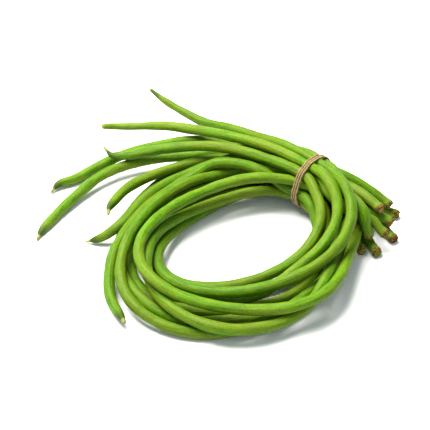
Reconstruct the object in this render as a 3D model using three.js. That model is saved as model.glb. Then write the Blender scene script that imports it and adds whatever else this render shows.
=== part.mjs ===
// Yardlong bean bunch: nine long thin pods laid round in one coil and
// bound with a few turns of twine where the coil crosses its own ends.
// Units are millimetres, +Z is up, the bunch lies on z = 0.
import * as THREE from 'three';
import { mergeVertices } from 'three/addons/utils/BufferGeometryUtils.js';

// ---- driving dimensions ----------------------------------------------------
const POD_DIAMETER = 7.5;        // full thickness of one pod, mm
const POD_SIDES = 8;             // facets round a pod
const POD_FIT = 0.96;            // section radius over the pod's own radius
const TWINE_DIAMETER = 1.2;      // one strand of the tie
const TWINE_SIDES = 6;
const TWINE_TURNS = 3;
const TWINE_PITCH = 1.6;         // spacing of the turns along the bundle
const TIE_CENTRE = [63.09, 13.15, 20.88];
const TIE_AXIS = [-0.7312, 0.6822, 0];    // direction of the bundle where it is tied
const TIE_SIDE = [0.6822, 0.7312, 0];    // level direction across the bundle

// Distance from the tie's centre to the middle of the twine, at even angles
// round the bundle, starting at the outer side and going over the top.
const TIE_RADII = [
  18.88, 19.04, 18.94, 18.94, 19.16, 18.78, 19.16, 18.86, 19.12, 19.44,
  19.03, 19.38, 18.6, 18.03, 18.05, 18.78, 19.17, 18.97, 19.48, 18.98,
  19.25, 19.16, 18.57, 18.93, 19.28, 19.07, 19.42, 19.8, 19.17, 19.35,
];

// Centre line of each pod from its stem end to its tip: x, y, z, radius.
// The radius drops a little under the tie, at the stem end and at the tip.
const PODS = {
  bean_1: [
    [93.68,-38.45,3.14,3.14], [90.45,-31.27,4.27,3.53], [84.65,-21.89,7.42,3.74], [79.51,-16.43,10.27,3.73], [76.24,-14.02,11.44,3.72], [72.66,-11.75,11.44,3.69],
    [69,-9.59,10.88,3.65], [61.61,-5.36,11.6,3.53], [59.14,-2.18,11.81,3.48], [57.98,1.5,12.07,3.44], [55.71,4.4,11.8,3.43], [50.11,9.12,12.01,3.47],
    [42.95,11.07,12.68,3.56], [35.18,11.94,13.3,3.65], [23.24,10.99,13.17,3.74], [11.59,7.83,12.45,3.74], [0.41,3.01,11.86,3.74], [-10.12,-3.19,12.06,3.74],
    [-19.64,-10.69,13.28,3.74], [-28.24,-19.22,14.93,3.74], [-35.6,-28.8,16.67,3.74], [-41.33,-39.44,18,3.74], [-44.01,-47.04,18.49,3.74], [-45.6,-54.9,18.53,3.74],
    [-46.05,-62.86,18.13,3.74], [-45.42,-70.76,17.24,3.74], [-42.45,-82.1,14.71,3.74], [-39.01,-89.27,13.57,3.74], [-34.37,-95.85,12.99,3.74], [-25.8,-104.49,12.41,3.74],
    [-15.81,-111.41,11.95,3.74], [-8.53,-114.83,11.66,3.74], [-1.05,-117.08,11.37,3.74], [6.65,-118.08,10.97,3.74], [14.63,-117.84,10.61,3.74], [26.52,-115.42,10.2,3.74],
    [37.82,-110.9,10.06,3.74], [44.79,-106.79,10.35,3.74], [51.08,-101.82,11.23,3.74], [56.54,-96.16,13.02,3.74], [63.12,-86.55,16.34,3.74], [68.23,-75.63,18.32,3.74],
    [73.7,-60.22,18.52,3.74], [78.59,-44.65,17.54,3.74], [83.34,-29.05,16.66,3.74], [85.5,-21.3,15.59,3.74], [86.17,-17.38,15.79,3.74], [85.43,-13.6,14.75,3.74],
    [83.52,-10.22,14.28,3.73], [80.92,-7.59,15.46,3.71], [78.22,-5.36,17.33,3.69], [75.95,-2.18,18.32,3.65], [66.06,10.26,20.67,3.44], [57.81,18.47,21.41,3.48],
    [53.06,24.34,24.25,3.58], [50.92,27.73,24.91,3.64], [45.43,33.73,25.22,3.71], [38.93,38.63,24.6,3.74], [28.52,44.6,22.59,3.74], [13.66,50.46,19.27,3.74],
    [2.19,53.3,16.05,3.74], [-13.59,54.89,12.29,3.74], [-25.69,55.12,10.53,3.74], [-37.84,54.43,9.65,3.74], [-49.73,52.29,9.11,3.74], [-61.32,48.49,8.68,3.74],
    [-72.24,43.11,8.37,3.74], [-82.01,36.07,7.73,3.74], [-90.48,27.43,6.58,3.74], [-100.25,14.52,4.86,3.74], [-109.49,1.21,3.89,3.73], [-117.46,-12.87,2.78,2.74],
    [-120.27,-20.21,1.76,1.76], [-121.17,-24.01,1.12,1.12],
  ],
  bean_2: [
    [98.13,-32.02,10.75,3.14], [97.58,-31.9,14.27,3.34], [96,-32.05,17.79,3.53], [94.99,-31.93,22.05,3.72], [94.65,-29.47,25.69,3.74], [93.4,-27.13,28.12,3.74],
    [91.98,-25.13,29.79,3.74], [89.56,-21.16,30.92,3.74], [86.59,-16.49,30.69,3.74], [81.33,-10.74,30.36,3.72], [78.74,-7.9,29.4,3.7], [76.44,-5.84,27,3.68],
    [73.54,-4.07,25.33,3.64], [70,-2.52,24.55,3.6], [66.25,-1.17,24.72,3.54], [59.64,3.09,24.35,3.44], [56.17,4.67,24.75,3.43], [49.13,7.13,26.05,3.46],
    [41.47,7.29,27.61,3.54], [29.72,7.69,28.22,3.66], [17.99,6.54,27.97,3.74], [6.42,3.86,26.89,3.74], [-4.76,-0.41,25.51,3.74], [-11.84,-4.33,24.97,3.74],
    [-21.58,-11.66,25.15,3.74], [-30.38,-19.98,25.56,3.74], [-38.17,-29.35,25.84,3.74], [-44.66,-39.61,25.87,3.74], [-49.36,-50.77,25.58,3.74], [-50.92,-58.58,25.13,3.74],
    [-50.74,-66.51,24.48,3.74], [-48.66,-74.2,23.77,3.74], [-44.83,-81.13,22.85,3.74], [-39.68,-87.02,21.76,3.74], [-33.6,-91.92,20.52,3.74], [-23.18,-97.76,18.97,3.74],
    [-11.82,-102.02,17.92,3.74], [3.98,-105.76,17.18,3.74], [20.12,-107.54,17.08,3.74], [32.3,-107.47,17.4,3.74], [44.32,-105.71,18.2,3.74], [51.94,-103.27,18.99,3.74],
    [59.08,-99.59,19.68,3.74], [65.37,-94.56,20.03,3.74], [70.44,-88.31,19.89,3.74], [75.94,-77.54,19.05,3.74], [81.26,-62.2,17.36,3.74], [85.94,-46.64,15.4,3.74],
    [89.32,-34.92,13.76,3.74], [89.95,-31,12.87,3.74], [92.37,-23.16,12.25,3.74], [93.53,-15.21,10.96,3.74], [93.96,-7.55,8.44,3.74], [94.2,0.26,6.64,3.73],
    [94.37,4.44,6.6,3.72], [93.47,7.78,8.17,3.7], [92,10.69,10.87,3.68], [89,12.37,13.18,3.64], [83.34,16.41,16.25,3.55], [80.22,18.27,17.36,3.5],
    [76.9,20.05,17.95,3.45], [67.99,28.03,17.32,3.47], [62.69,33.82,15.24,3.58], [51.36,44.69,11.18,3.72], [42.03,52.13,9.46,3.74], [28.18,60.43,8.43,3.74],
    [17.15,65.56,8.62,3.74], [5.71,69.12,9.99,3.74], [-6.09,71.19,11.22,3.74], [-18.11,71.6,11.79,3.74], [-30.12,70.36,11.54,3.74], [-45.87,66.78,10.6,3.74],
    [-61.11,61.51,9.46,3.74], [-75.6,54.58,7.97,3.74], [-89.03,45.91,5.7,3.74], [-102.08,36.76,3.69,3.42], [-111.46,30.17,2.44,2.28], [-116.79,25.01,1.12,1.12],
  ],
  bean_3: [
    [103.39,-40.44,3.14,3.14], [98.9,-29.43,3.72,3.72], [94.99,-22.75,3.75,3.74], [90.02,-16.83,4.02,3.74], [82.14,-8.71,6.78,3.72], [79.21,-6.17,7.87,3.7],
    [76.46,-3.94,9.82,3.67], [72.95,-2.58,11.31,3.63], [69.3,-1.16,10.92,3.57], [65.95,0.21,8.97,3.52], [63.47,2.57,7.15,3.48], [61.71,6.17,7.39,3.44],
    [55.87,12.09,7.37,3.45], [52.53,14.15,7.14,3.49], [46.38,16.53,7.91,3.58], [41.03,17.81,8.67,3.64], [34.19,18.25,8.82,3.69], [22.24,16.85,8.01,3.73],
    [10.77,13.49,6.6,3.74], [0.07,8.22,5.24,3.74], [-9.49,0.98,4.65,3.74], [-18.08,-7.49,5.09,3.74], [-25.48,-16.84,6.4,3.74], [-31.68,-27.02,8.13,3.74],
    [-36.64,-37.85,10.04,3.74], [-38.87,-45.41,11.23,3.74], [-39.9,-53.19,11.67,3.74], [-39.16,-60.95,11.78,3.74], [-36.4,-68.21,11.75,3.74], [-31.81,-74.49,11.8,3.74],
    [-25.82,-79.57,12.04,3.74], [-18.99,-83.54,12.32,3.74], [-11.58,-86.37,12.78,3.74], [0.12,-88.85,13.69,3.74], [12.06,-89.5,14.89,3.74], [23.96,-88.56,16.48,3.74],
    [35.63,-86.17,18.42,3.74], [46.86,-82.36,20.62,3.74], [57.37,-76.99,23.02,3.74], [66.72,-69.91,25.61,3.74], [74.62,-61.14,27.62,3.74], [80.6,-50.95,29.8,3.74],
    [83.35,-43.64,31.57,3.74], [84.87,-36.08,33.69,3.74], [85,-28.34,35.71,3.74], [83.81,-20.62,37.3,3.74], [81.78,-12.98,38.15,3.73], [80.44,-9.27,38.11,3.72],
    [75.59,1.35,36.48,3.62], [69.92,11.44,35.06,3.46], [60.05,22.4,34.72,3.49], [49.25,34.58,32.91,3.7], [38.86,46.4,29.51,3.74], [28.95,57.86,24.91,3.74],
    [23.81,63.45,22.72,3.74], [12.5,73.76,19.51,3.74], [0.58,83.32,16.23,3.74], [-8.72,89.89,13.96,3.71], [-15.17,94.24,13.87,3.59], [-28,102.89,16.3,3.08],
    [-37.5,109.47,18.53,2.48], [-40.71,111.14,19.94,2.25], [-43.79,113.44,20.92,2], [-46.79,114.86,22.87,1.74], [-49.62,117.37,23.89,1.45], [-51.21,120.92,23.01,1.12],
  ],
  bean_4: [
    [108.88,-32.3,12.54,3.14], [105.59,-30.71,14.61,3.34], [103.54,-28.59,16.95,3.53], [100.67,-25.82,18.7,3.72], [96.19,-23.87,19.34,3.74], [91.76,-23.85,20.78,3.74],
    [88.43,-23.51,22.92,3.74], [81.76,-20.6,26,3.74], [75.69,-15.92,28.82,3.72], [72.84,-13.21,30.18,3.7], [71,-9.75,31.35,3.67], [70.01,-5.76,32.08,3.63],
    [69.29,-1.74,32.29,3.58], [68.45,2.06,31.28,3.53], [67.01,5.12,29.15,3.49], [64.49,7.75,27.67,3.45], [58.27,12.76,27.37,3.44], [51.25,16.57,26.9,3.53],
    [36.39,22.03,24.3,3.7], [24.84,24.96,22.46,3.74], [13.1,25.7,20.91,3.74], [5.33,24.66,19.68,3.74], [1.57,23.43,19.2,3.74], [-2,21.63,19.14,3.74],
    [-15.96,13.94,21.09,3.74], [-25.38,6.44,21.75,3.74], [-33.87,-1.99,21.95,3.74], [-41.36,-11.26,21.73,3.74], [-49.95,-24.85,21,3.74], [-56.75,-39.37,19.96,3.74],
    [-60.23,-50.77,18.73,3.74], [-62.18,-62.39,17.09,3.74], [-62.19,-74.01,15.01,3.74], [-60.6,-81.62,13.33,3.74], [-57.64,-88.82,11.58,3.74], [-53.37,-95.28,9.88,3.74],
    [-47.89,-100.82,8.36,3.74], [-41.49,-105.44,6.98,3.74], [-30.86,-110.61,5.19,3.74], [-19.35,-113.61,4.03,3.74], [-7.51,-114.48,3.76,3.74], [4.28,-113.46,4.59,3.74],
    [16.01,-111.07,6.11,3.74], [27.31,-107.2,7.8,3.74], [37.86,-101.57,9.29,3.74], [47.42,-94.36,10.33,3.74], [58.67,-82.92,10.96,3.74], [66.27,-73.54,10.95,3.74],
    [72.59,-63.29,10.43,3.74], [77.81,-52.52,8.92,3.74], [80.34,-45.13,7.06,3.74], [81.38,-37.39,5.26,3.74], [81.08,-33.44,4.66,3.74], [78.76,-25.86,3.93,3.74],
    [75.48,-18.61,3.73,3.73], [71.56,-3.77,3.62,3.62], [71.94,0.08,3.59,3.59], [71.84,3.72,4.83,3.55], [70.6,5.97,7.44,3.52], [68.86,7.49,10.02,3.48],
    [66.71,9.22,11.82,3.45], [60.67,12.84,13.59,3.43], [57.22,14.81,14.12,3.45], [54.16,17.33,14.66,3.5], [49.33,22.97,17.76,3.61], [39.72,29.12,22.16,3.72],
    [33,32.46,24.1,3.74], [25.74,34.76,24.38,3.74], [18,36.33,23.56,3.74], [10.14,37.08,21.95,3.74], [2.37,36.66,20.14,3.74], [-9.03,33.77,17.56,3.74],
    [-20.01,29.08,15.46,3.74], [-30.39,22.96,14.42,3.74], [-39.74,15.35,14.37,3.74], [-47.71,6.4,14.3,3.74], [-54.35,-3.6,13.83,3.74], [-62.26,-17.37,12.39,3.74],
    [-64.51,-20.55,11.83,3.73], [-67.24,-23.19,11.19,3.62], [-70.25,-25.14,9.98,3.41], [-73.53,-26.11,8.31,3.12], [-88.02,-26.9,1.88,1.12],
  ],
  bean_5: [
    [106.12,-18.17,22.17,3.14], [98.22,-8.7,24.17,3.72], [87.65,3.94,23.35,3.69], [80.83,8.82,23.43,3.59], [73.8,13.03,23.36,3.48], [70.64,15.45,23.35,3.44],
    [65.18,21.17,22.19,3.44], [59.88,26.66,19.96,3.53], [46.13,33.63,15.72,3.71], [34.91,38.15,12.34,3.74], [24.88,40.59,9.67,3.74], [17.66,41.05,8.19,3.74],
    [5.89,39.85,6.33,3.74], [-5.56,36.73,5.1,3.74], [-16.44,31.88,4.33,3.74], [-26.51,25.44,3.93,3.74], [-35.52,17.6,3.76,3.74], [-43.28,8.53,3.74,3.74],
    [-49.63,-1.61,3.74,3.74], [-54.34,-12.58,3.74,3.74], [-57.29,-24.14,3.74,3.74], [-58.47,-36.04,3.74,3.74], [-58.18,-47.98,3.74,3.74], [-56.28,-59.72,3.74,3.74],
    [-53.85,-67.23,3.74,3.74], [-50.29,-74.24,3.74,3.74], [-45.65,-80.56,3.81,3.74], [-40.06,-85.97,4.15,3.74], [-33.71,-90.53,4.65,3.74], [-26.57,-93.91,5.23,3.74],
    [-18.93,-96.06,5.7,3.74], [-7.06,-97.37,5.99,3.74], [4.88,-96.8,5.73,3.74], [16.6,-94.55,5.05,3.74], [27.88,-90.79,4.27,3.74], [38.46,-85.37,3.76,3.74],
    [47.87,-78.08,3.74,3.74], [53.33,-72.33,3.77,3.74], [57.91,-66.04,4.66,3.74], [61.53,-59.34,6.61,3.74], [66.69,-45.13,11.5,3.74], [69.08,-33.97,14.9,3.74],
    [69.7,-22.51,17.59,3.72], [70.05,-14.67,18.44,3.69], [69.45,-10.77,18.76,3.66], [68.29,-6.97,18.33,3.62], [64.54,0.03,17.18,3.51], [62.85,3.6,17.4,3.46],
    [60.36,6.46,17.88,3.43], [54.96,10.96,19.87,3.44], [51.91,12.92,20.24,3.48], [48.45,14.46,19.66,3.53], [45.12,16.46,18.55,3.59], [39.05,21.78,16.84,3.69],
    [27.96,32.73,16.7,3.74], [18.64,39.82,16.4,3.74], [11.47,43.27,16.21,3.74], [3.76,45.07,15.61,3.74], [-4.13,45.42,14.87,3.74], [-15.9,44.04,13.62,3.74],
    [-27.27,40.74,12.54,3.74], [-38.15,35.9,11.89,3.74], [-48.29,29.63,11.69,3.74], [-57.47,22,12.05,3.74], [-62.73,16.12,12.43,3.74], [-67.01,9.58,12.71,3.62],
    [-71.55,-1.22,13.12,2.74], [-73.19,-8.68,13.36,1.76], [-73.73,-12.45,13.13,1.12],
  ],
  bean_6: [
    [115.29,0.87,10.18,3.14], [101.85,8.07,17.17,3.73], [91.15,12.87,21.91,3.65], [83.95,15.95,24.24,3.56], [77.66,19.06,25.2,3.47], [70.36,25.55,24.82,3.44],
    [65.07,30.86,24.18,3.52], [58.93,35.01,21.87,3.63], [45.35,42.4,16.12,3.73], [34.66,47.82,10.73,3.74], [28.26,50.99,7.7,3.74], [21.7,53.31,5.67,3.74],
    [14.2,54.8,4.43,3.74], [6.09,55.21,3.83,3.74], [-2.05,54.46,3.74,3.74], [-13.74,51.23,3.74,3.74], [-24.7,45.91,3.74,3.74], [-34.6,38.79,3.74,3.74],
    [-43.18,30.11,3.74,3.74], [-50.32,20.22,3.74,3.74], [-56.06,9.44,3.74,3.74], [-60.46,-1.97,3.74,3.74], [-63.58,-13.77,3.74,3.74], [-65.5,-25.77,3.8,3.74],
    [-66.31,-37.88,5.08,3.74], [-65.47,-49.95,6.4,3.74], [-62.9,-61.79,7.54,3.74], [-58.44,-73.15,8.04,3.74], [-52.13,-83.54,7.69,3.74], [-46.94,-89.68,7.03,3.74],
    [-40.92,-95.03,6.19,3.74], [-30.63,-101.23,4.8,3.74], [-23.35,-103.94,4.24,3.74], [-15.79,-105.32,4.29,3.74], [-3.74,-105.56,4.96,3.74], [8.37,-104.29,5.47,3.74],
    [20.3,-101.74,5.09,3.74], [31.72,-97.74,4.37,3.74], [42.41,-92.21,3.93,3.74], [52.12,-84.92,3.75,3.74], [60.49,-76.07,3.74,3.74], [65.06,-69.35,3.74,3.74],
    [68.43,-61.97,3.8,3.74], [71.4,-50.21,4.95,3.74], [73.76,-38.68,7.96,3.74], [76.52,-27.84,12.53,3.74], [77.51,-20.9,16.5,3.73], [80.04,-14.49,20.71,3.73],
    [82.2,-11.48,22.31,3.73], [83.88,-7.96,23.09,3.72], [84.44,-4.4,24.96,3.71], [81.41,1.82,28.96,3.66], [80.03,5.22,30.24,3.62], [75.58,14.79,31.55,3.48],
    [67.64,23.29,31.15,3.44], [65.19,26.5,31.44,3.48], [59.85,32.63,30.34,3.59], [51.01,40.76,26.64,3.71], [44.77,45.03,23.62,3.74], [35.06,49.08,19.17,3.74],
    [27.94,50.62,16.09,3.74], [20.39,51,13.18,3.74], [8.81,49.87,9.8,3.74], [-2.69,47.14,7.29,3.74], [-13.96,42.8,5.95,3.74], [-24.51,36.76,5.54,3.74],
    [-33.99,29.14,5.87,3.62], [-42.38,20.36,6.44,2.74], [-49.64,10.66,7.35,1.12],
  ],
  bean_7: [
    [115.94,-26.45,3.14,3.14], [109.7,-17.29,5.1,3.72], [104.11,-8.69,8.95,3.74], [100.46,-3.86,12.23,3.74], [98.29,-1.7,13.78,3.74], [95.47,0.33,14.62,3.73],
    [92.19,2.13,14.29,3.72], [85.57,5.12,11.13,3.67], [82.57,7.57,10.13,3.63], [76.18,11.22,7.38,3.52], [72.89,13.15,6.73,3.47], [69.21,14.45,7.06,3.44],
    [62.3,18.01,6.57,3.44], [51.72,22.14,4.82,3.58], [44.21,23.59,4.08,3.66], [32.54,24.14,3.73,3.72], [20.85,23.42,3.74,3.74], [5.49,20.59,3.74,3.74],
    [-5.57,16.86,3.79,3.74], [-15.9,11.5,3.9,3.74], [-25.08,4.36,4.01,3.74], [-32.66,-4.48,4.06,3.74], [-36.64,-11.21,4.06,3.74], [-40.68,-22.11,3.98,3.74],
    [-42.04,-29.72,3.91,3.74], [-41.9,-41.42,3.78,3.74], [-40.55,-49.1,3.74,3.74], [-37.86,-56.33,3.74,3.74], [-33.54,-62.62,3.74,3.74], [-27.93,-67.63,3.74,3.74],
    [-21.21,-71.03,3.74,3.74], [-13.82,-73.05,3.74,3.74], [-6.08,-73.73,3.75,3.74], [5.54,-72.84,4.1,3.74], [16.94,-70.26,4.99,3.74], [31.56,-65.01,6.95,3.74],
    [41.87,-59.86,9.11,3.74], [51.21,-53.45,12.09,3.74], [56.54,-48.34,14.6,3.74], [60.89,-42.57,17.49,3.74], [63.96,-36.17,20.64,3.74], [65.95,-29.18,23.25,3.74],
    [66.37,-21.92,25.6,3.71], [65.17,-14.73,27.72,3.66], [60.68,-0.63,31.38,3.48], [59.43,2.67,31.65,3.45], [52.62,9.83,32.02,3.45], [46.73,13.85,32.6,3.55],
    [33.93,22.7,31.94,3.71], [20.65,30.91,31.01,3.74], [6.89,38.21,29.69,3.74], [-3.82,42.6,28.23,3.74], [-14.91,45.63,26.31,3.74], [-30.02,48.03,23.29,3.74],
    [-45.19,48.95,20.1,3.74], [-60.28,48.61,16.71,3.62], [-71.14,49.06,15.43,2.74], [-74.53,49.72,15.83,2.28], [-77.87,50.73,16.72,1.76], [-80.9,52.32,18.23,1.12],
  ],
  bean_8: [
    [113.78,-19.73,11.8,3.14], [103.64,-14.01,15.28,3.72], [93.55,-7.67,16.88,3.74], [86.99,-3.07,17.45,3.72], [84.03,-0.21,17.93,3.69], [78.71,6.2,16.67,3.6],
    [66.52,17.26,15.8,3.43], [60.07,21.95,14.15,3.49], [57.17,24.36,12.56,3.54], [53.66,26.11,11.38,3.6], [41.52,28.98,9.82,3.71], [33.52,29.78,9.16,3.73],
    [26.28,29.33,9.44,3.74], [15.07,26.71,10.5,3.74], [3.72,22.01,11.42,3.74], [-10.44,13.81,12.05,3.74], [-20.24,6.36,12.46,3.74], [-29.13,-2.14,12.74,3.74],
    [-36.89,-11.66,12.88,3.74], [-43.21,-22.11,12.84,3.74], [-47.74,-33.39,12.59,3.74], [-49.52,-41.2,12.26,3.74], [-50.15,-49.22,11.75,3.74], [-49.45,-57.32,11.09,3.74],
    [-47.27,-65.13,10.16,3.74], [-43.43,-72.23,9.03,3.74], [-38.1,-78.28,8.07,3.74], [-31.59,-82.98,7,3.74], [-24.27,-86.38,6.05,3.74], [-16.46,-88.49,5.34,3.74],
    [-4.58,-89.57,4.83,3.74], [7.42,-88.47,5.17,3.74], [19.24,-85.58,6.45,3.74], [30.07,-80.79,8.67,3.74], [40.11,-74.54,11.59,3.74], [52.62,-64.95,15.73,3.74],
    [61.52,-57.13,18.73,3.74], [69.06,-48.23,22.36,3.74], [72.98,-41.72,25.34,3.74], [75.68,-34.79,28.66,3.74], [76.65,-27.56,32.17,3.74], [75.74,-20.32,35.51,3.73],
    [73.3,-13.24,38.24,3.7], [69.81,-6.17,39.7,3.63], [67.88,-2.59,39.77,3.57], [66.22,0.99,38.93,3.52], [63.68,7.54,35.4,3.44], [53.57,18.55,34.54,3.52],
    [42.41,30.28,32.97,3.71], [30.18,40.94,30.81,3.74], [17.36,50.78,28.1,3.74], [4.13,59.97,25.21,3.74], [-9.74,68.2,22.47,3.74], [-24.36,75.17,20.16,3.74],
    [-35.8,79.34,18.88,3.6], [-47.65,81.87,17.58,3.28], [-59.82,82.48,16.65,2.96], [-63.83,82.67,16.39,2.85], [-67.72,82,16.83,2.75], [-71.72,82.37,16.57,2.64],
    [-79.32,79.99,18.42,2.43], [-82.83,78.3,19.68,2.32],
  ],
  bean_9: [
    [120.69,-1.13,3.14,3.14], [107.77,6.33,4.18,3.72], [103.46,8.7,4.55,3.74], [95.42,14.5,4.22,3.63], [90.36,15.7,4.95,3.59], [85.88,15.89,6.96,3.55],
    [77.9,17.84,10.37,3.48], [74.2,18.96,11.1,3.44], [70.98,20.93,11.25,3.43], [65.19,25.85,10.64,3.47], [62.66,28.26,9.25,3.52], [59.69,30.33,8.14,3.57],
    [56.34,31.95,7.3,3.62], [45.22,34.84,5.49,3.72], [33.74,35.89,4.21,3.74], [20.07,34.77,3.74,3.74], [8.8,32.5,3.74,3.74], [-2.18,29,3.74,3.74],
    [-12.6,24.22,3.74,3.74], [-22.29,18.09,3.75,3.74], [-30.97,10.59,3.76,3.74], [-38.32,1.79,3.77,3.74], [-44.06,-8.16,3.79,3.74], [-48.03,-18.89,3.8,3.74],
    [-50.12,-30.1,3.8,3.74], [-50.38,-41.53,3.78,3.74], [-49.17,-49.05,3.76,3.74], [-46.79,-56.25,3.75,3.74], [-43.24,-62.93,3.74,3.74], [-38.53,-68.92,3.74,3.74],
    [-32.83,-73.9,3.74,3.74], [-26.25,-77.53,3.74,3.74], [-19.1,-80.01,3.74,3.74], [-7.75,-81.67,3.74,3.74], [3.7,-81.16,3.74,3.74], [14.97,-79.03,3.74,3.74],
    [25.87,-75.63,3.74,3.74], [36.24,-70.79,3.74,3.74], [45.72,-64.38,3.74,3.74], [53.85,-56.38,3.75,3.74], [60.28,-47.03,4.27,3.74], [63.17,-40.14,5.4,3.74],
    [64.79,-32.98,7.19,3.74], [65.29,-25.94,9.83,3.74], [64.44,-18.97,12.56,3.68], [63.63,-15.63,14.1,3.65], [61.17,-9.78,17.99,3.58], [58.22,-3.23,19.2,3.48],
    [56.22,-0.37,18.88,3.44], [51.42,4.34,18.34,3.43], [48.81,6.44,18.73,3.46], [45.52,7.57,19.26,3.5], [39.72,11.69,21.54,3.6], [36.67,13.49,23.01,3.65],
    [26.64,17.65,26.76,3.72], [19.81,20.66,28.08,3.74], [12.6,22.91,28.28,3.74], [1.73,25.26,27.02,3.74], [-1.85,25.89,26.11,3.74], [-5.32,26.34,24.67,3.74],
    [-8.59,26.15,22.75,3.74], [-11.75,25.18,20.87,3.74], [-18.16,21.88,18.43,3.74], [-27.45,15.6,16.15,3.74], [-35.94,7.94,15.31,3.74], [-43.27,-0.8,15.36,3.74],
    [-51.31,-13.55,15.67,3.74], [-58.4,-27.15,15.65,3.74], [-64.46,-41.23,15.29,3.74], [-67.73,-52.14,14.22,3.74], [-69.12,-59.53,12.93,3.74], [-69.82,-70.51,9.7,3.74],
    [-68.9,-81.51,6.7,3.74], [-66.94,-88.71,5.39,3.62], [-63.85,-95.59,5.37,3.12], [-60.69,-102.38,6.61,2.28], [-57.81,-109.24,8.24,1.12],
  ],
};

const POD_COLOURS = [0x7fae35, 0x86b43a, 0x8dbb40, 0x7aa832, 0x74a231,
  0x7dab37, 0x88b63d, 0x90bd45, 0x82b038];

// ---- helpers ---------------------------------------------------------------
const UP = new THREE.Vector3(0, 0, 1);

// A path through given stations. Each section stands square to the path and
// keeps one flat side facing straight down, so a pod that lies on the table
// touches it with a facet.
class StationPath extends THREE.Curve {
  constructor(stations) {
    super();
    this.stations = stations;
  }
  getPoint(t, target = new THREE.Vector3()) {
    const u = t * (this.stations.length - 1);
    const k = Math.min(Math.floor(u), this.stations.length - 2);
    return target.lerpVectors(this.stations[k], this.stations[k + 1], u - k);
  }
  getSpacedPoints() {
    return this.stations.map((p) => p.clone());
  }
  computeFrenetFrames() {
    const tangents = [], normals = [], binormals = [];
    const last = this.stations.length - 1;
    for (let i = 0; i <= last; i++) {
      const t = new THREE.Vector3();
      if (i > 0) {
        t.add(this.stations[i].clone().sub(this.stations[i - 1]).normalize());
      }
      if (i < last) {
        t.add(this.stations[i + 1].clone().sub(this.stations[i]).normalize());
      }
      t.normalize();
      const side = new THREE.Vector3().crossVectors(UP, t).normalize();
      const up = new THREE.Vector3().crossVectors(t, side).normalize();
      tangents.push(t);
      normals.push(side);
      binormals.push(up);
    }
    return { tangents, normals, binormals };
  }
}

function polygon(sides, radius, turn) {
  const shape = new THREE.Shape();
  for (let i = 0; i < sides; i++) {
    const a = turn + (i * 2 * Math.PI) / sides;
    const x = radius * Math.cos(a), y = radius * Math.sin(a);
    if (i === 0) shape.moveTo(x, y); else shape.lineTo(x, y);
  }
  shape.closePath();
  return shape;
}

function weld(geometry) {
  geometry.deleteAttribute('normal');
  geometry.deleteAttribute('uv');
  const merged = mergeVertices(geometry, 1e-4);
  merged.computeVertexNormals();
  return merged;
}

// One pod: an eight sided section of unit radius swept along the centre line,
// then every section is brought to the pod's own radius there.
function pod(points) {
  const facetDrop = 1 - POD_FIT * Math.cos(Math.PI / POD_SIDES);
  const stations = points.map((p) => new THREE.Vector3(p[0], p[1], p[2] - facetDrop * p[3]));
  const steps = stations.length - 1;
  const geometry = new THREE.ExtrudeGeometry(
    polygon(POD_SIDES, 1, Math.PI / POD_SIDES),
    { steps, bevelEnabled: false, extrudePath: new StationPath(stations) });
  const position = geometry.attributes.position;
  const v = new THREE.Vector3();
  for (let i = 0; i < position.count; i++) {
    v.fromBufferAttribute(position, i);
    let best = 0, near = Infinity;
    for (let k = 0; k <= steps; k++) {
      const d = v.distanceToSquared(stations[k]);
      if (d < near) { near = d; best = k; }
    }
    v.sub(stations[best]).multiplyScalar(POD_FIT * points[best][3]).add(stations[best]);
    position.setXYZ(i, v.x, v.y, Math.max(v.z, 0));
  }
  return weld(geometry);
}

// The tie: one strand of twine wound TWINE_TURNS times round the bundle.
function twine() {
  const centre = new THREE.Vector3(...TIE_CENTRE);
  const axis = new THREE.Vector3(...TIE_AXIS).normalize();
  const side = new THREE.Vector3(...TIE_SIDE).normalize();
  const n = TIE_RADII.length;
  const start = Math.round(n * 0.72);
  const count = Math.round(n * (TWINE_TURNS - 0.08));
  const line = [];
  for (let i = 0; i <= count; i++) {
    const k = (start + i) % n;
    const a = (k * 2 * Math.PI) / n;
    const s = (i / n - TWINE_TURNS / 2) * TWINE_PITCH;
    const r = TIE_RADII[k];
    line.push(centre.clone()
      .addScaledVector(axis, s)
      .addScaledVector(side, r * Math.cos(a))
      .addScaledVector(UP, r * Math.sin(a)));
  }
  const path = new THREE.CatmullRomCurve3(line, false, 'centripetal');
  const geometry = new THREE.ExtrudeGeometry(
    polygon(TWINE_SIDES, TWINE_DIAMETER / 2, 0),
    { steps: count, bevelEnabled: false, extrudePath: path });
  return weld(geometry);
}

// ---- assembly --------------------------------------------------------------
const bunch = new THREE.Group();
bunch.name = 'yardlong_bean_bunch';

Object.entries(PODS).forEach(([name, points], i) => {
  const mesh = new THREE.Mesh(pod(points), new THREE.MeshStandardMaterial({
    color: POD_COLOURS[i], roughness: 0.45, metalness: 0 }));
  mesh.name = name;
  bunch.add(mesh);
});

const tie = new THREE.Mesh(twine(), new THREE.MeshStandardMaterial({
  color: 0xb79a6a, roughness: 0.9, metalness: 0 }));
tie.name = 'tie_twine';
bunch.add(tie);

export default bunch;
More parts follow.
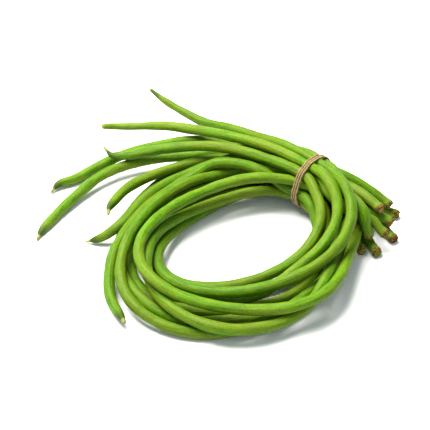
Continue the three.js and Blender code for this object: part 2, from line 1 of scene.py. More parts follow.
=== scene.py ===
# Yardlong bean bunch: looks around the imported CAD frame.
# Every pod is swept afresh along the same centre line as its CAD solid, with
# its own swellings, seams, cut stem end and tip. The tie is three windings of
# a three-ply jute twine. All lengths here are millimetres until mesh_object().
import bpy
import math
import numpy as np
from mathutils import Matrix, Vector


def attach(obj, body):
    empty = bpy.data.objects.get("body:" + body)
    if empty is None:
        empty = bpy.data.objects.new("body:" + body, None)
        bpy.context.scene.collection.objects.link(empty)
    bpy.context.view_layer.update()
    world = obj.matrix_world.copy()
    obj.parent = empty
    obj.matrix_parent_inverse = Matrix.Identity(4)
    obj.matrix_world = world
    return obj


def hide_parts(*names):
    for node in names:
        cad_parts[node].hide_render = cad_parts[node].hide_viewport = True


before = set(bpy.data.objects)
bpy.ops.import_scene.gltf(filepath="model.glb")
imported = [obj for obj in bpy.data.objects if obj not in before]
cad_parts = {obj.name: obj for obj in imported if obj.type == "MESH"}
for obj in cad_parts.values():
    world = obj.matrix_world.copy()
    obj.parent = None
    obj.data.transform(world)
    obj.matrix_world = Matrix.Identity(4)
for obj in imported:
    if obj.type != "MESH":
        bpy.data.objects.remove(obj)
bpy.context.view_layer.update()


# --------------------------------------------------------------------- data
# Centre lines from the stem end to the tip: x y z radius, hundredths of a mm.
PODS = {
    "bean_1": (
        "9368 -3845 314 314,9216 -3476 357 334,9045 -3127 427 353,8857 -2801 515 372,8665 -2492 622 374,8465 -2189 742 374,"
        "8223 -1905 870 374,7951 -1643 1027 373,7624 -1402 1144 372,7266 -1175 1144 369,6900 -959 1088 365,6519 -761 1109 360,"
        "6161 -536 1160 353,5914 -218 1181 348,5798 150 1207 344,5571 440 1180 343,5302 696 1180 344,5011 912 1201 347,"
        "4659 1017 1212 351,4295 1107 1268 356,3912 1168 1306 361,3518 1194 1330 365,3120 1186 1339 368,2721 1156 1333 370,"
        "2324 1099 1317 374,1931 1015 1296 374,1542 909 1271 374,1159 783 1245 374,780 638 1221 374,408 477 1200 374,"
        "41 301 1186 374,-320 110 1180 374,-672 -96 1186 374,-1012 -319 1206 374,-1340 -557 1239 374,-1657 -808 1280 374,"
        "-1964 -1069 1328 374,-2262 -1342 1379 374,-2549 -1626 1435 374,-2824 -1922 1493 374,-3085 -2229 1553 374,-3331 -2549 1611 374,"
        "-3560 -2880 1667 374,-3772 -3223 1717 374,-3963 -3578 1762 374,-4133 -3944 1800 374,-4280 -4319 1830 374,-4401 -4704 1849 374,"
        "-4495 -5095 1857 374,-4560 -5490 1853 374,-4597 -5888 1837 374,-4605 -6286 1813 374,-4586 -6684 1779 374,-4542 -7076 1724 374,"
        "-4470 -7460 1643 374,-4371 -7838 1553 374,-4245 -8210 1471 374,-4089 -8574 1405 374,-3901 -8927 1357 374,-3682 -9264 1324 374,"
        "-3437 -9585 1299 374,-3170 -9890 1278 374,-2884 -10178 1258 374,-2580 -10449 1241 374,-2262 -10701 1225 374,-1928 -10932 1210 374,"
        "-1581 -11141 1195 374,-1221 -11326 1180 374,-853 -11483 1166 374,-481 -11611 1153 374,-105 -11708 1137 374,276 -11774 1117 374,"
        "665 -11808 1097 374,1062 -11811 1078 374,1463 -11784 1061 374,1863 -11729 1046 374,2260 -11648 1033 374,2652 -11542 1020 374,"
        "3037 -11413 1010 374,3414 -11262 1004 374,3782 -11090 1006 374,4137 -10895 1016 374,4479 -10679 1035 374,4803 -10441 1068 374,"
        "5108 -10182 1123 374,5392 -9906 1203 374,5654 -9616 1302 374,5896 -9313 1414 374,6114 -8992 1527 374,6312 -8655 1634 374,"
        "6495 -8302 1722 374,6664 -7937 1789 374,6823 -7563 1832 374,6973 -7183 1852 374,7112 -6799 1858 374,7244 -6411 1860 374,"
        "7370 -6022 1852 374,7494 -5632 1836 374,7615 -5243 1812 374,7736 -4853 1783 374,7859 -4465 1754 374,7985 -4078 1729 374,"
        "8110 -3690 1703 374,8235 -3302 1677 374,8334 -2905 1666 374,8461 -2523 1602 374,8550 -2130 1559 374,8617 -1738 1579 374,"
        "8543 -1360 1475 374,8352 -1022 1428 373,8092 -759 1546 371,7822 -536 1733 369,7595 -218 1832 365,7354 105 1870 360,"
        "7109 421 1936 354,6869 735 2015 348,6606 1026 2067 344,6330 1298 2094 343,6054 1567 2109 344,5781 1847 2141 348,"
        "5537 2133 2279 353,5306 2434 2425 358,5092 2773 2491 364,4834 3087 2521 368,4543 3373 2522 371,4226 3630 2500 373,"
        "3893 3863 2460 374,3553 4081 2406 374,3207 4280 2336 374,2852 4460 2259 374,2486 4620 2184 374,2114 4771 2107 374,"
        "1740 4914 2026 374,1366 5046 1927 374,990 5166 1819 374,607 5259 1712 374,219 5330 1605 374,-172 5383 1500 374,"
        "-565 5428 1400 374,-961 5463 1309 374,-1359 5489 1229 374,-1761 5506 1160 374,-2164 5514 1101 374,-2569 5512 1053 374,"
        "-2976 5502 1016 374,-3381 5479 988 374,-3784 5443 965 374,-4183 5390 946 374,-4579 5319 928 374,-4973 5229 911 374,"
        "-5364 5120 895 374,-5751 4994 881 374,-6132 4849 868 374,-6506 4687 857 374,-6870 4508 848 374,-7224 4311 837 374,"
        "-7564 4096 822 374,-7889 3861 801 374,-8201 3607 773 374,-8497 3334 739 374,-8780 3045 700 374,-9048 2743 658 374,"
        "-9304 2429 612 374,-9549 2107 566 374,-9788 1780 523 374,-10025 1452 486 374,-10262 1123 457 374,-10496 793 432 374,"
        "-10727 460 411 374,-10949 121 389 373,-11163 -224 366 362,-11369 -575 342 342,-11565 -930 312 312,-11746 -1287 278 274,"
        "-11897 -1652 231 228,-12027 -2021 176 176,-12117 -2401 112 112"
    ),
    "bean_2": (
        "9813 -3202 1075 314,9758 -3190 1427 334,9600 -3205 1779 353,9499 -3193 2205 372,9465 -2947 2569 374,9340 -2713 2812 374,"
        "9198 -2513 2979 374,9062 -2312 3054 374,8956 -2116 3092 374,8833 -1900 3095 374,8659 -1649 3069 374,8420 -1365 3038 373,"
        "8133 -1074 3036 372,7874 -790 2940 370,7644 -584 2700 368,7354 -407 2533 364,7000 -252 2455 360,6625 -117 2472 354,"
        "6281 81 2447 349,5964 309 2435 344,5617 467 2475 343,5255 568 2540 343,4913 713 2605 346,4536 716 2694 349,"
        "4147 729 2761 354,3754 755 2788 358,3363 773 2807 363,2972 769 2822 366,2581 748 2825 374,2189 709 2817 374,"
        "1799 654 2797 374,1410 582 2768 374,1025 493 2731 374,642 386 2689 374,264 262 2643 374,-110 120 2595 374,"
        "-476 -41 2551 374,-837 -226 2516 374,-1184 -433 2497 374,-1520 -665 2495 374,-1842 -909 2503 374,-2158 -1166 2515 374,"
        "-2461 -1431 2529 374,-2757 -1710 2543 374,-3038 -1998 2556 374,-3311 -2301 2568 374,-3570 -2611 2577 374,-3817 -2935 2584 374,"
        "-4049 -3266 2588 374,-4267 -3610 2589 374,-4466 -3961 2587 374,-4648 -4325 2581 374,-4805 -4695 2572 374,-4936 -5077 2558 374,"
        "-5033 -5463 2538 374,-5092 -5858 2513 374,-5107 -6253 2482 374,-5074 -6651 2448 374,-4994 -7040 2414 374,-4866 -7420 2377 374,"
        "-4696 -7778 2335 374,-4483 -8113 2285 374,-4241 -8419 2232 374,-3968 -8702 2176 374,-3675 -8957 2115 374,-3360 -9192 2052 374,"
        "-3028 -9405 1995 374,-2677 -9601 1943 374,-2318 -9776 1897 374,-1945 -9935 1856 374,-1569 -10076 1821 374,-1182 -10202 1792 374,"
        "-794 -10314 1767 374,-398 -10414 1747 374,-4 -10501 1730 374,398 -10576 1718 374,797 -10639 1709 374,1202 -10690 1705 374,"
        "1604 -10728 1704 374,2012 -10754 1708 374,2416 -10766 1715 374,2826 -10764 1725 374,3230 -10747 1740 374,3637 -10710 1759 374,"
        "4035 -10653 1786 374,4432 -10571 1820 374,4816 -10465 1860 374,5194 -10327 1899 374,5557 -10161 1936 374,5908 -9959 1968 374,"
        "6234 -9726 1992 374,6537 -9456 2003 374,6806 -9158 2002 374,7044 -8831 1989 374,7249 -8486 1968 374,7432 -8123 1939 374,"
        "7594 -7754 1905 374,7744 -7374 1867 374,7879 -6994 1826 374,8006 -6605 1782 374,8126 -6220 1736 374,8244 -5829 1689 374,"
        "8360 -5442 1641 374,8477 -5050 1590 374,8594 -4664 1540 374,8712 -4272 1488 374,8828 -3885 1437 374,8932 -3492 1376 374,"
        "8995 -3100 1287 374,9143 -2706 1253 374,9237 -2316 1225 374,9303 -1913 1180 374,9353 -1521 1096 374,9374 -1143 946 374,"
        "9396 -755 844 374,9397 -369 733 374,9420 26 664 373,9437 444 660 372,9347 778 817 370,9200 1069 1087 368,"
        "8900 1237 1318 364,8618 1444 1479 360,8334 1641 1625 355,8022 1827 1736 350,7690 2005 1795 345,7390 2258 1786 343,"
        "7094 2524 1759 343,6799 2803 1732 347,6542 3104 1649 352,6269 3382 1524 358,5994 3655 1404 363,5713 3931 1296 367,"
        "5429 4202 1201 371,5136 4469 1118 372,4835 4726 1050 374,4523 4975 993 374,4203 5213 946 374,3868 5438 909 374,"
        "3525 5648 881 374,3173 5850 859 374,2818 6043 843 374,2456 6229 836 374,2090 6400 840 374,1715 6556 862 374,"
        "1338 6692 902 374,954 6810 951 374,571 6912 999 374,181 6999 1045 374,-210 7068 1087 374,-609 7119 1122 374,"
        "-1008 7151 1150 374,-1411 7165 1170 374,-1811 7160 1179 374,-2213 7136 1179 374,-2612 7094 1170 374,-3012 7036 1154 374,"
        "-3409 6964 1133 374,-3805 6879 1110 374,-4197 6784 1085 374,-4587 6678 1060 374,-4973 6562 1033 374,-5357 6435 1006 374,"
        "-5735 6298 977 374,-6111 6151 946 374,-6481 5994 914 374,-6848 5827 880 374,-7206 5649 842 374,-7560 5458 797 374,"
        "-7904 5256 747 374,-8243 5041 691 374,-8574 4820 631 374,-8903 4591 570 374,-9227 4359 511 374,-9552 4126 455 373,"
        "-9878 3899 408 362,-10208 3676 369 342,-10534 3459 334 312,-10852 3241 297 274,-11146 3017 244 228,-11429 2780 176 176,"
        "-11679 2501 112 112"
    ),
    "bean_3": (
        "10339 -4044 314 314,10196 -3666 334 334,10048 -3298 353 353,9890 -2943 372 372,9710 -2602 374 374,9499 -2275 375 374,"
        "9256 -1970 375 374,9002 -1683 402 374,8755 -1404 485 374,8493 -1133 579 373,8214 -871 678 372,7921 -617 787 370,"
        "7646 -394 982 367,7295 -258 1131 363,6930 -116 1092 357,6595 21 897 352,6347 257 715 348,6171 617 739 344,"
        "5897 931 740 343,5587 1209 737 345,5253 1415 714 349,4928 1555 745 354,4638 1653 791 358,4373 1725 837 361,"
        "4103 1781 867 364,3786 1818 881 367,3419 1825 882 369,3023 1801 869 371,2621 1755 839 372,2224 1685 801 373,"
        "1836 1593 758 374,1453 1481 710 374,1077 1349 660 374,710 1197 610 374,353 1022 564 374,7 822 524 374,"
        "-323 599 495 374,-641 355 475 374,-949 98 465 374,-1247 -174 464 374,-1533 -456 480 374,-1808 -749 509 374,"
        "-2069 -1051 546 374,-2316 -1363 591 374,-2548 -1684 640 374,-2767 -2015 693 374,-2973 -2355 751 374,-3168 -2702 813 374,"
        "-3350 -3056 877 374,-3516 -3417 941 374,-3664 -3785 1004 374,-3789 -4160 1065 374,-3887 -4541 1123 374,-3957 -4928 1156 374,"
        "-3990 -5319 1167 374,-3978 -5709 1175 374,-3916 -6095 1178 374,-3802 -6467 1177 374,-3640 -6821 1175 374,-3431 -7149 1175 374,"
        "-3181 -7449 1180 374,-2895 -7718 1190 374,-2582 -7957 1204 374,-2249 -8170 1218 374,-1899 -8354 1232 374,-1534 -8509 1253 374,"
        "-1158 -8637 1278 374,-774 -8742 1305 374,-383 -8824 1336 374,12 -8885 1369 374,409 -8926 1405 374,808 -8947 1445 374,"
        "1206 -8950 1489 374,1604 -8936 1537 374,2000 -8904 1591 374,2396 -8856 1648 374,2788 -8792 1709 374,3178 -8712 1774 374,"
        "3563 -8617 1842 374,3944 -8506 1913 374,4318 -8379 1986 374,4686 -8236 2062 374,5046 -8075 2141 374,5397 -7896 2221 374,"
        "5737 -7699 2302 374,6065 -7483 2384 374,6377 -7247 2470 374,6672 -6991 2561 374,6953 -6717 2633 374,7219 -6424 2695 374,"
        "7462 -6114 2762 374,7685 -5788 2833 374,7884 -5449 2905 374,8060 -5095 2980 374,8211 -4733 3062 374,8335 -4364 3157 374,"
        "8428 -3989 3261 374,8487 -3608 3369 374,8512 -3222 3473 374,8500 -2834 3571 374,8452 -2449 3662 374,8381 -2062 3730 374,"
        "8291 -1677 3774 374,8178 -1298 3815 373,8044 -927 3811 372,7898 -567 3745 369,7736 -214 3695 366,7559 135 3648 362,"
        "7374 480 3602 356,7183 819 3555 351,6992 1144 3506 346,6758 1425 3493 343,6514 1687 3486 343,6261 1951 3479 345,"
        "6005 2240 3472 349,5740 2546 3448 355,5467 2853 3406 361,5195 3158 3352 366,4925 3458 3291 370,4659 3755 3224 372,"
        "4396 4052 3147 373,4137 4346 3056 374,3886 4640 2951 374,3641 4930 2834 374,3394 5217 2720 374,3146 5502 2606 374,"
        "2895 5786 2491 374,2641 6066 2380 374,2381 6345 2272 374,2097 6599 2191 374,1824 6870 2101 374,1530 7116 2037 374,"
        "1250 7376 1951 374,950 7614 1888 374,661 7867 1794 374,356 8096 1719 374,58 8332 1623 374,-257 8544 1544 374,"
        "-551 8786 1457 374,-872 8989 1396 371,-1185 9225 1376 366,-1517 9424 1387 359,-1830 9659 1437 349,-2152 9868 1502 338,"
        "-2473 10094 1552 324,-2800 10289 1630 308,-3112 10524 1682 290,-3436 10724 1769 270,-3750 10947 1853 248,-4071 11114 1994 225,"
        "-4379 11344 2092 200,-4679 11486 2287 174,-4962 11737 2389 145,-5121 12092 2301 112"
    ),
    "bean_4": (
        "10888 -3230 1254 314,10559 -3071 1461 334,10354 -2859 1695 353,10067 -2582 1870 372,9619 -2387 1934 374,9176 -2385 2078 374,"
        "8843 -2351 2292 374,8504 -2230 2446 374,8176 -2060 2600 374,7867 -1843 2749 373,7569 -1592 2882 372,7284 -1321 3018 370,"
        "7100 -975 3135 367,7001 -576 3208 363,6929 -174 3229 358,6845 206 3128 353,6701 512 2915 349,6449 775 2767 345,"
        "6145 1030 2753 343,5827 1276 2737 344,5486 1486 2722 347,5125 1657 2690 353,4763 1808 2620 358,4392 1946 2547 363,"
        "4019 2078 2485 367,3639 2203 2430 370,3259 2320 2365 372,2873 2422 2302 373,2484 2496 2246 374,2091 2546 2195 374,"
        "1701 2571 2145 374,1310 2570 2091 374,920 2538 2030 374,533 2466 1968 374,157 2343 1920 374,-200 2163 1914 374,"
        "-541 1956 1960 374,-896 1780 2031 374,-1254 1604 2077 374,-1596 1394 2109 374,-1921 1158 2135 374,-2235 907 2158 374,"
        "-2538 644 2175 374,-2833 372 2188 374,-3116 91 2194 374,-3387 -199 2195 374,-3646 -498 2192 374,-3896 -807 2184 374,"
        "-4136 -1126 2173 374,-4367 -1454 2158 374,-4587 -1791 2141 374,-4796 -2135 2121 374,-4995 -2485 2100 374,-5183 -2840 2077 374,"
        "-5361 -3201 2053 374,-5526 -3566 2026 374,-5675 -3937 1996 374,-5809 -4313 1960 374,-5925 -4693 1919 374,-6023 -5077 1873 374,"
        "-6105 -5464 1823 374,-6171 -5852 1768 374,-6218 -6239 1709 374,-6245 -6627 1644 374,-6247 -7014 1575 374,-6219 -7401 1501 374,"
        "-6158 -7785 1420 374,-6060 -8162 1333 374,-5929 -8530 1246 374,-5764 -8882 1158 374,-5567 -9216 1071 374,-5337 -9528 988 374,"
        "-5077 -9817 910 374,-4789 -10082 836 374,-4478 -10325 766 374,-4149 -10544 698 374,-3806 -10740 634 374,-3452 -10912 574 374,"
        "-3086 -11061 519 374,-2710 -11185 471 374,-2326 -11285 432 374,-1935 -11361 403 374,-1541 -11413 383 374,-1146 -11443 376 374,"
        "-751 -11448 376 374,-358 -11432 389 374,35 -11397 418 374,428 -11346 459 374,822 -11281 507 374,1213 -11202 558 374,"
        "1601 -11107 611 374,1984 -10995 667 374,2361 -10866 724 374,2731 -10720 780 374,3092 -10552 834 374,3444 -10364 884 374,"
        "3786 -10157 929 374,4117 -9932 969 374,4436 -9691 1004 374,4742 -9436 1033 374,5038 -9167 1056 374,5320 -8883 1074 374,"
        "5596 -8590 1088 374,5867 -8292 1096 374,6132 -7989 1099 374,6386 -7676 1100 374,6627 -7354 1095 374,6851 -7020 1085 374,"
        "7061 -6678 1070 374,7259 -6329 1043 374,7444 -5974 1005 374,7619 -5615 957 374,7781 -5252 892 374,7923 -4886 806 374,"
        "8034 -4513 706 374,8109 -4130 609 374,8138 -3739 526 374,8108 -3344 466 374,8016 -2956 434 374,7876 -2586 393 374,"
        "7703 -2227 374 374,7548 -1861 373 373,7455 -1477 371 371,7367 -1101 369 369,7251 -741 366 366,7156 -377 362 362,"
        "7194 8 359 359,7184 372 483 355,7060 597 744 352,6886 749 1002 348,6671 922 1182 345,6391 1098 1290 343,"
        "6067 1284 1359 343,5722 1481 1412 345,5416 1733 1466 350,5183 2023 1618 356,4933 2297 1776 361,4628 2515 1938 366,"
        "4303 2717 2084 369,3972 2912 2216 372,3639 3091 2327 373,3300 3246 2410 374,2945 3373 2443 374,2574 3476 2438 374,"
        "2191 3562 2412 374,1800 3633 2356 374,1408 3684 2278 374,1014 3708 2195 374,624 3703 2106 374,237 3666 2014 374,"
        "-146 3595 1925 374,-526 3496 1839 374,-903 3377 1756 374,-1274 3237 1676 374,-1640 3080 1606 374,-2001 2908 1546 374,"
        "-2355 2721 1496 374,-2702 2516 1460 374,-3039 2296 1442 374,-3364 2058 1436 374,-3676 1804 1435 374,-3974 1535 1437 374,"
        "-4255 1251 1437 374,-4521 952 1436 374,-4771 640 1430 374,-5005 315 1418 374,-5226 -19 1402 374,-5435 -360 1383 374,"
        "-5634 -705 1360 374,-5827 -1053 1331 374,-6020 -1400 1292 374,-6226 -1737 1239 374,-6451 -2055 1183 373,-6724 -2319 1119 362,"
        "-7025 -2514 998 341,-7353 -2611 831 312,-7703 -2652 667 274,-8067 -2664 507 228,-8434 -2675 347 176,-8802 -2690 188 112"
    ),
    "bean_5": (
        "10612 -1817 2217 314,10344 -1509 2305 334,10080 -1194 2376 353,9822 -870 2417 372,9566 -544 2410 374,9309 -225 2377 373,"
        "9047 91 2348 371,8765 394 2335 369,8438 656 2347 365,8083 882 2343 359,7726 1093 2339 354,7380 1303 2336 348,"
        "7064 1545 2335 344,6784 1829 2303 343,6518 2117 2219 344,6265 2409 2112 348,5988 2666 1996 353,5659 2847 1884 359,"
        "5318 3014 1788 364,4973 3189 1684 368,4613 3363 1572 371,4238 3531 1453 373,3860 3687 1340 374,3491 3815 1234 374,"
        "3144 3917 1139 374,2816 3997 1052 374,2488 4059 967 374,2139 4096 888 374,1766 4105 819 374,1377 4089 750 374,"
        "982 4048 687 374,589 3985 633 374,202 3901 586 374,-180 3797 546 374,-556 3673 510 374,-926 3530 480 374,"
        "-1289 3368 455 374,-1644 3188 433 374,-1991 2990 416 374,-2327 2775 403 374,-2651 2544 393 374,-2965 2297 385 374,"
        "-3265 2036 380 374,-3552 1760 376 374,-3825 1471 375 374,-4084 1168 374 374,-4328 853 374 374,-4556 525 374 374,"
        "-4768 187 374 374,-4963 -161 374 374,-5139 -519 374 374,-5296 -885 374 374,-5434 -1258 374 374,-5552 -1638 374 374,"
        "-5651 -2024 374 374,-5729 -2414 374 374,-5784 -2809 374 374,-5825 -3206 374 374,-5847 -3604 374 374,-5853 -4003 374 374,"
        "-5843 -4401 374 374,-5818 -4798 374 374,-5774 -5192 374 374,-5709 -5584 374 374,-5628 -5972 374 374,-5521 -6353 374 374,"
        "-5385 -6723 374 374,-5220 -7081 374 374,-5029 -7424 374 374,-4810 -7750 375 374,-4565 -8056 381 374,-4296 -8338 394 374,"
        "-4006 -8597 415 374,-3698 -8837 438 374,-3371 -9053 465 374,-3023 -9239 494 374,-2657 -9391 523 374,-2279 -9512 549 374,"
        "-1893 -9606 570 374,-1500 -9673 586 374,-1104 -9716 596 374,-706 -9737 599 374,-307 -9738 597 374,91 -9719 588 374,"
        "488 -9680 573 374,882 -9622 554 374,1273 -9547 531 374,1660 -9455 505 374,2042 -9346 479 374,2418 -9221 452 374,"
        "2788 -9079 427 374,3151 -8918 403 374,3503 -8738 384 374,3846 -8537 376 374,4175 -8316 374 374,4489 -8072 374 374,"
        "4787 -7808 374 374,5069 -7528 375 374,5333 -7233 377 374,5575 -6924 400 374,5791 -6604 466 374,5986 -6275 554 374,"
        "6153 -5934 661 374,6300 -5585 777 374,6434 -5231 898 374,6557 -4873 1022 374,6669 -4513 1150 374,6762 -4146 1272 374,"
        "6841 -3774 1386 374,6908 -3397 1490 374,6954 -3017 1585 374,6961 -2636 1680 373,6970 -2251 1759 372,7001 -1862 1812 371,"
        "7005 -1467 1844 369,6945 -1077 1876 366,6829 -697 1833 362,6641 -352 1751 357,6454 3 1718 351,6285 360 1740 346,"
        "6036 646 1788 343,5754 867 1879 343,5496 1096 1987 344,5191 1292 2024 348,4845 1446 1966 353,4512 1646 1855 359,"
        "4202 1899 1748 364,3905 2178 1684 369,3624 2470 1666 371,3345 2746 1687 373,3069 3011 1697 374,2796 3273 1670 374,"
        "2507 3524 1648 374,2195 3762 1642 374,1864 3982 1640 374,1514 4173 1639 374,1147 4327 1621 374,765 4435 1594 374,"
        "376 4507 1561 374,-18 4541 1528 374,-413 4542 1487 374,-808 4519 1444 374,-1201 4473 1402 374,-1590 4404 1362 374,"
        "-1974 4314 1324 374,-2353 4203 1287 374,-2727 4074 1254 374,-3096 3928 1226 374,-3459 3767 1204 374,-3815 3590 1189 374,"
        "-4163 3397 1178 374,-4501 3188 1171 374,-4829 2963 1169 374,-5147 2723 1175 374,-5454 2469 1187 374,-5747 2200 1205 374,"
        "-6021 1914 1225 374,-6273 1612 1243 374,-6501 1294 1258 373,-6701 958 1271 362,-6877 608 1284 342,-7027 246 1299 312,"
        "-7155 -122 1312 274,-7246 -495 1325 228,-7319 -868 1336 176,-7373 -1245 1313 112"
    ),
    "bean_6": (
        "11529 87 1018 314,11201 277 1173 334,10868 459 1360 353,10529 636 1541 371,10185 807 1717 373,9834 972 1885 371,"
        "9478 1132 2044 369,9115 1287 2191 365,8751 1440 2320 361,8395 1595 2424 356,8060 1748 2492 351,7766 1906 2520 347,"
        "7518 2096 2520 344,7286 2315 2503 343,7036 2555 2482 344,6768 2811 2470 347,6507 3086 2418 352,6211 3314 2314 358,"
        "5893 3501 2187 363,5571 3687 2058 367,5242 3875 1924 370,4896 4061 1777 372,4535 4240 1612 373,4167 4420 1435 374,"
        "3808 4602 1251 374,3466 4782 1073 374,3142 4953 909 374,2826 5099 770 374,2507 5224 657 374,2170 5331 567 374,"
        "1807 5417 496 374,1420 5480 443 374,1018 5514 405 374,609 5521 383 374,200 5499 375 374,-205 5446 374 374,"
        "-603 5363 374 374,-993 5254 374 374,-1374 5123 374 374,-1749 4968 374 374,-2114 4791 374 374,-2470 4591 374 374,"
        "-2814 4372 374 374,-3144 4134 374 374,-3460 3879 374 374,-3762 3606 374 374,-4048 3317 374 374,-4318 3011 374 374,"
        "-4572 2693 374 374,-4810 2362 374 374,-5032 2022 374 374,-5239 1671 374 374,-5430 1312 374 374,-5606 944 374 374,"
        "-5767 570 374 374,-5914 188 374 374,-6046 -197 374 374,-6164 -588 374 374,-6268 -981 374 374,-6358 -1377 374 374,"
        "-6434 -1774 374 374,-6495 -2175 374 374,-6550 -2577 380 374,-6597 -2978 424 374,-6623 -3382 465 374,-6631 -3788 508 374,"
        "-6620 -4192 551 374,-6593 -4595 596 374,-6547 -4995 640 374,-6481 -5393 681 374,-6394 -5787 717 374,-6290 -6179 754 374,"
        "-6163 -6565 781 374,-6015 -6945 798 374,-5844 -7315 804 374,-5653 -7674 804 374,-5443 -8021 793 374,-5213 -8354 769 374,"
        "-4964 -8670 739 374,-4694 -8968 703 374,-4403 -9246 663 374,-4092 -9503 619 374,-3762 -9733 572 374,-3417 -9941 523 374,"
        "-3063 -10123 480 374,-2701 -10275 445 374,-2335 -10394 424 374,-1962 -10479 418 374,-1579 -10532 429 374,-1183 -10562 448 374,"
        "-780 -10569 471 374,-374 -10556 496 374,30 -10526 518 374,435 -10483 536 374,837 -10429 547 374,1239 -10361 545 374,"
        "1636 -10276 531 374,2030 -10174 509 374,2418 -10056 484 374,2799 -9923 459 374,3172 -9774 437 374,3537 -9609 419 374,"
        "3893 -9424 404 374,4241 -9221 393 374,4579 -8999 384 374,4903 -8756 377 374,5212 -8492 375 374,5507 -8212 374 374,"
        "5786 -7917 374 374,6049 -7607 374 374,6291 -7280 374 374,6506 -6935 374 374,6694 -6575 375 374,6843 -6197 380 374,"
        "6962 -5809 402 374,7058 -5415 441 374,7140 -5021 495 374,7212 -4628 571 374,7287 -4243 672 374,7376 -3868 796 374,"
        "7477 -3503 937 374,7580 -3142 1085 374,7652 -2784 1253 374,7691 -2425 1433 374,7751 -2090 1650 373,7868 -1766 1862 373,"
        "8004 -1449 2071 373,8220 -1148 2231 373,8388 -796 2309 372,8444 -440 2496 371,8309 -123 2691 369,8141 182 2896 366,"
        "8003 522 3024 362,7871 854 3088 358,7726 1169 3125 353,7558 1479 3155 348,7310 1756 3142 344,7038 2037 3124 343,"
        "6764 2329 3115 344,6519 2650 3144 348,6259 2963 3110 353,5985 3263 3034 359,5701 3548 2927 365,5405 3820 2802 369,"
        "5101 4076 2664 371,4790 4308 2517 373,4477 4503 2362 374,4161 4664 2212 374,3839 4797 2066 374,3506 4908 1917 374,"
        "3157 4998 1766 374,2794 5062 1609 374,2421 5097 1458 374,2039 5100 1318 374,1654 5080 1193 374,1268 5043 1081 374,"
        "881 4987 980 374,496 4912 887 374,113 4821 801 374,-269 4714 729 374,-649 4589 671 374,-1026 4444 627 374,"
        "-1396 4280 595 374,-1758 4097 572 374,-2110 3896 558 374,-2451 3676 554 374,-2780 3438 558 374,-3095 3183 571 373,"
        "-3399 2914 587 362,-3692 2634 604 341,-3972 2341 622 312,-4238 2036 644 274,-4482 1714 674 228,-4724 1391 705 176,"
        "-4964 1066 735 112"
    ),
    "bean_7": (
        "11594 -2645 314 314,11381 -2333 354 334,11173 -2027 420 353,10970 -1729 510 372,10776 -1435 619 374,10590 -1146 748 374,"
        "10411 -869 895 374,10233 -616 1055 374,10046 -386 1223 374,9829 -170 1378 374,9547 33 1462 373,9219 213 1429 372,"
        "8880 337 1275 370,8557 512 1113 367,8257 757 1013 363,7930 944 892 358,7618 1122 738 352,7289 1315 673 347,"
        "6921 1445 706 344,6579 1630 691 343,6230 1801 657 344,5881 1956 591 348,5528 2092 535 353,5172 2214 482 358,"
        "4803 2302 438 362,4421 2359 408 366,4034 2400 388 369,3644 2418 376 371,3254 2414 373 372,2864 2401 373 373,"
        "2474 2380 374 374,2085 2342 374 374,1697 2289 374 374,1311 2224 374 374,928 2148 374 374,549 2059 374 374,"
        "175 1951 374 374,-194 1827 375 374,-557 1686 379 374,-911 1527 383 374,-1256 1348 386 374,-1590 1150 390 374,"
        "-1911 932 394 374,-2218 693 398 374,-2508 436 401 374,-2780 160 403 374,-3033 -135 405 374,-3266 -448 406 374,"
        "-3477 -778 406 374,-3664 -1121 406 374,-3825 -1476 404 374,-3960 -1840 401 374,-4068 -2211 398 374,-4151 -2588 395 374,"
        "-4204 -2972 391 374,-4228 -3361 387 374,-4222 -3752 383 374,-4190 -4142 378 374,-4137 -4529 375 374,-4055 -4910 374 374,"
        "-3939 -5279 374 374,-3786 -5633 374 374,-3588 -5962 374 374,-3354 -6262 374 374,-3091 -6534 374 374,-2793 -6763 374 374,"
        "-2467 -6951 374 374,-2121 -7103 374 374,-1759 -7222 374 374,-1382 -7305 374 374,-998 -7354 374 374,-608 -7373 375 374,"
        "-219 -7365 381 374,169 -7335 393 374,554 -7284 410 374,938 -7214 434 374,1317 -7127 464 374,1694 -7026 499 374,"
        "2067 -6913 539 374,2435 -6787 585 374,2798 -6650 637 374,3156 -6501 695 374,3507 -6342 760 374,3852 -6170 832 374,"
        "4187 -5986 911 374,4513 -5787 1000 374,4825 -5575 1099 374,5121 -5345 1209 374,5398 -5098 1329 374,5654 -4834 1460 374,"
        "5885 -4554 1599 374,6089 -4257 1749 374,6257 -3945 1908 374,6396 -3617 2064 374,6512 -3274 2201 374,6595 -2918 2325 374,"
        "6637 -2555 2442 372,6637 -2192 2560 371,6596 -1831 2671 369,6517 -1473 2772 366,6404 -1119 2861 362,6306 -760 2960 357,"
        "6194 -406 3056 352,6068 -63 3138 348,5943 267 3165 345,5733 526 3187 343,5506 760 3197 343,5262 983 3202 345,"
        "4977 1177 3247 349,4673 1385 3260 355,4362 1606 3256 360,4042 1831 3242 365,3719 2052 3219 369,3393 2270 3194 371,"
        "3065 2482 3170 373,2734 2690 3148 374,2401 2893 3125 374,2065 3091 3101 374,1725 3282 3077 374,1382 3468 3049 374,"
        "1037 3648 3011 374,689 3821 2969 374,337 3982 2924 374,-20 4129 2876 374,-382 4260 2823 374,-749 4374 2765 374,"
        "-1118 4475 2701 374,-1491 4563 2631 374,-1866 4638 2558 374,-2243 4703 2483 374,-2621 4758 2406 374,-3002 4803 2329 374,"
        "-3382 4840 2252 374,-3763 4869 2174 374,-4142 4887 2094 374,-4519 4895 2010 374,-4897 4893 1923 374,-5274 4884 1833 374,"
        "-5652 4872 1748 373,-6028 4861 1671 362,-6400 4857 1610 342,-6762 4873 1563 312,-7114 4906 1543 274,-7453 4972 1583 228,"
        "-7787 5073 1672 176,-8090 5232 1823 112"
    ),
    "bean_8": (
        "11378 -1973 1180 314,11038 -1783 1310 334,10700 -1594 1429 353,10364 -1401 1528 372,10026 -1199 1601 374,9690 -984 1655 374,"
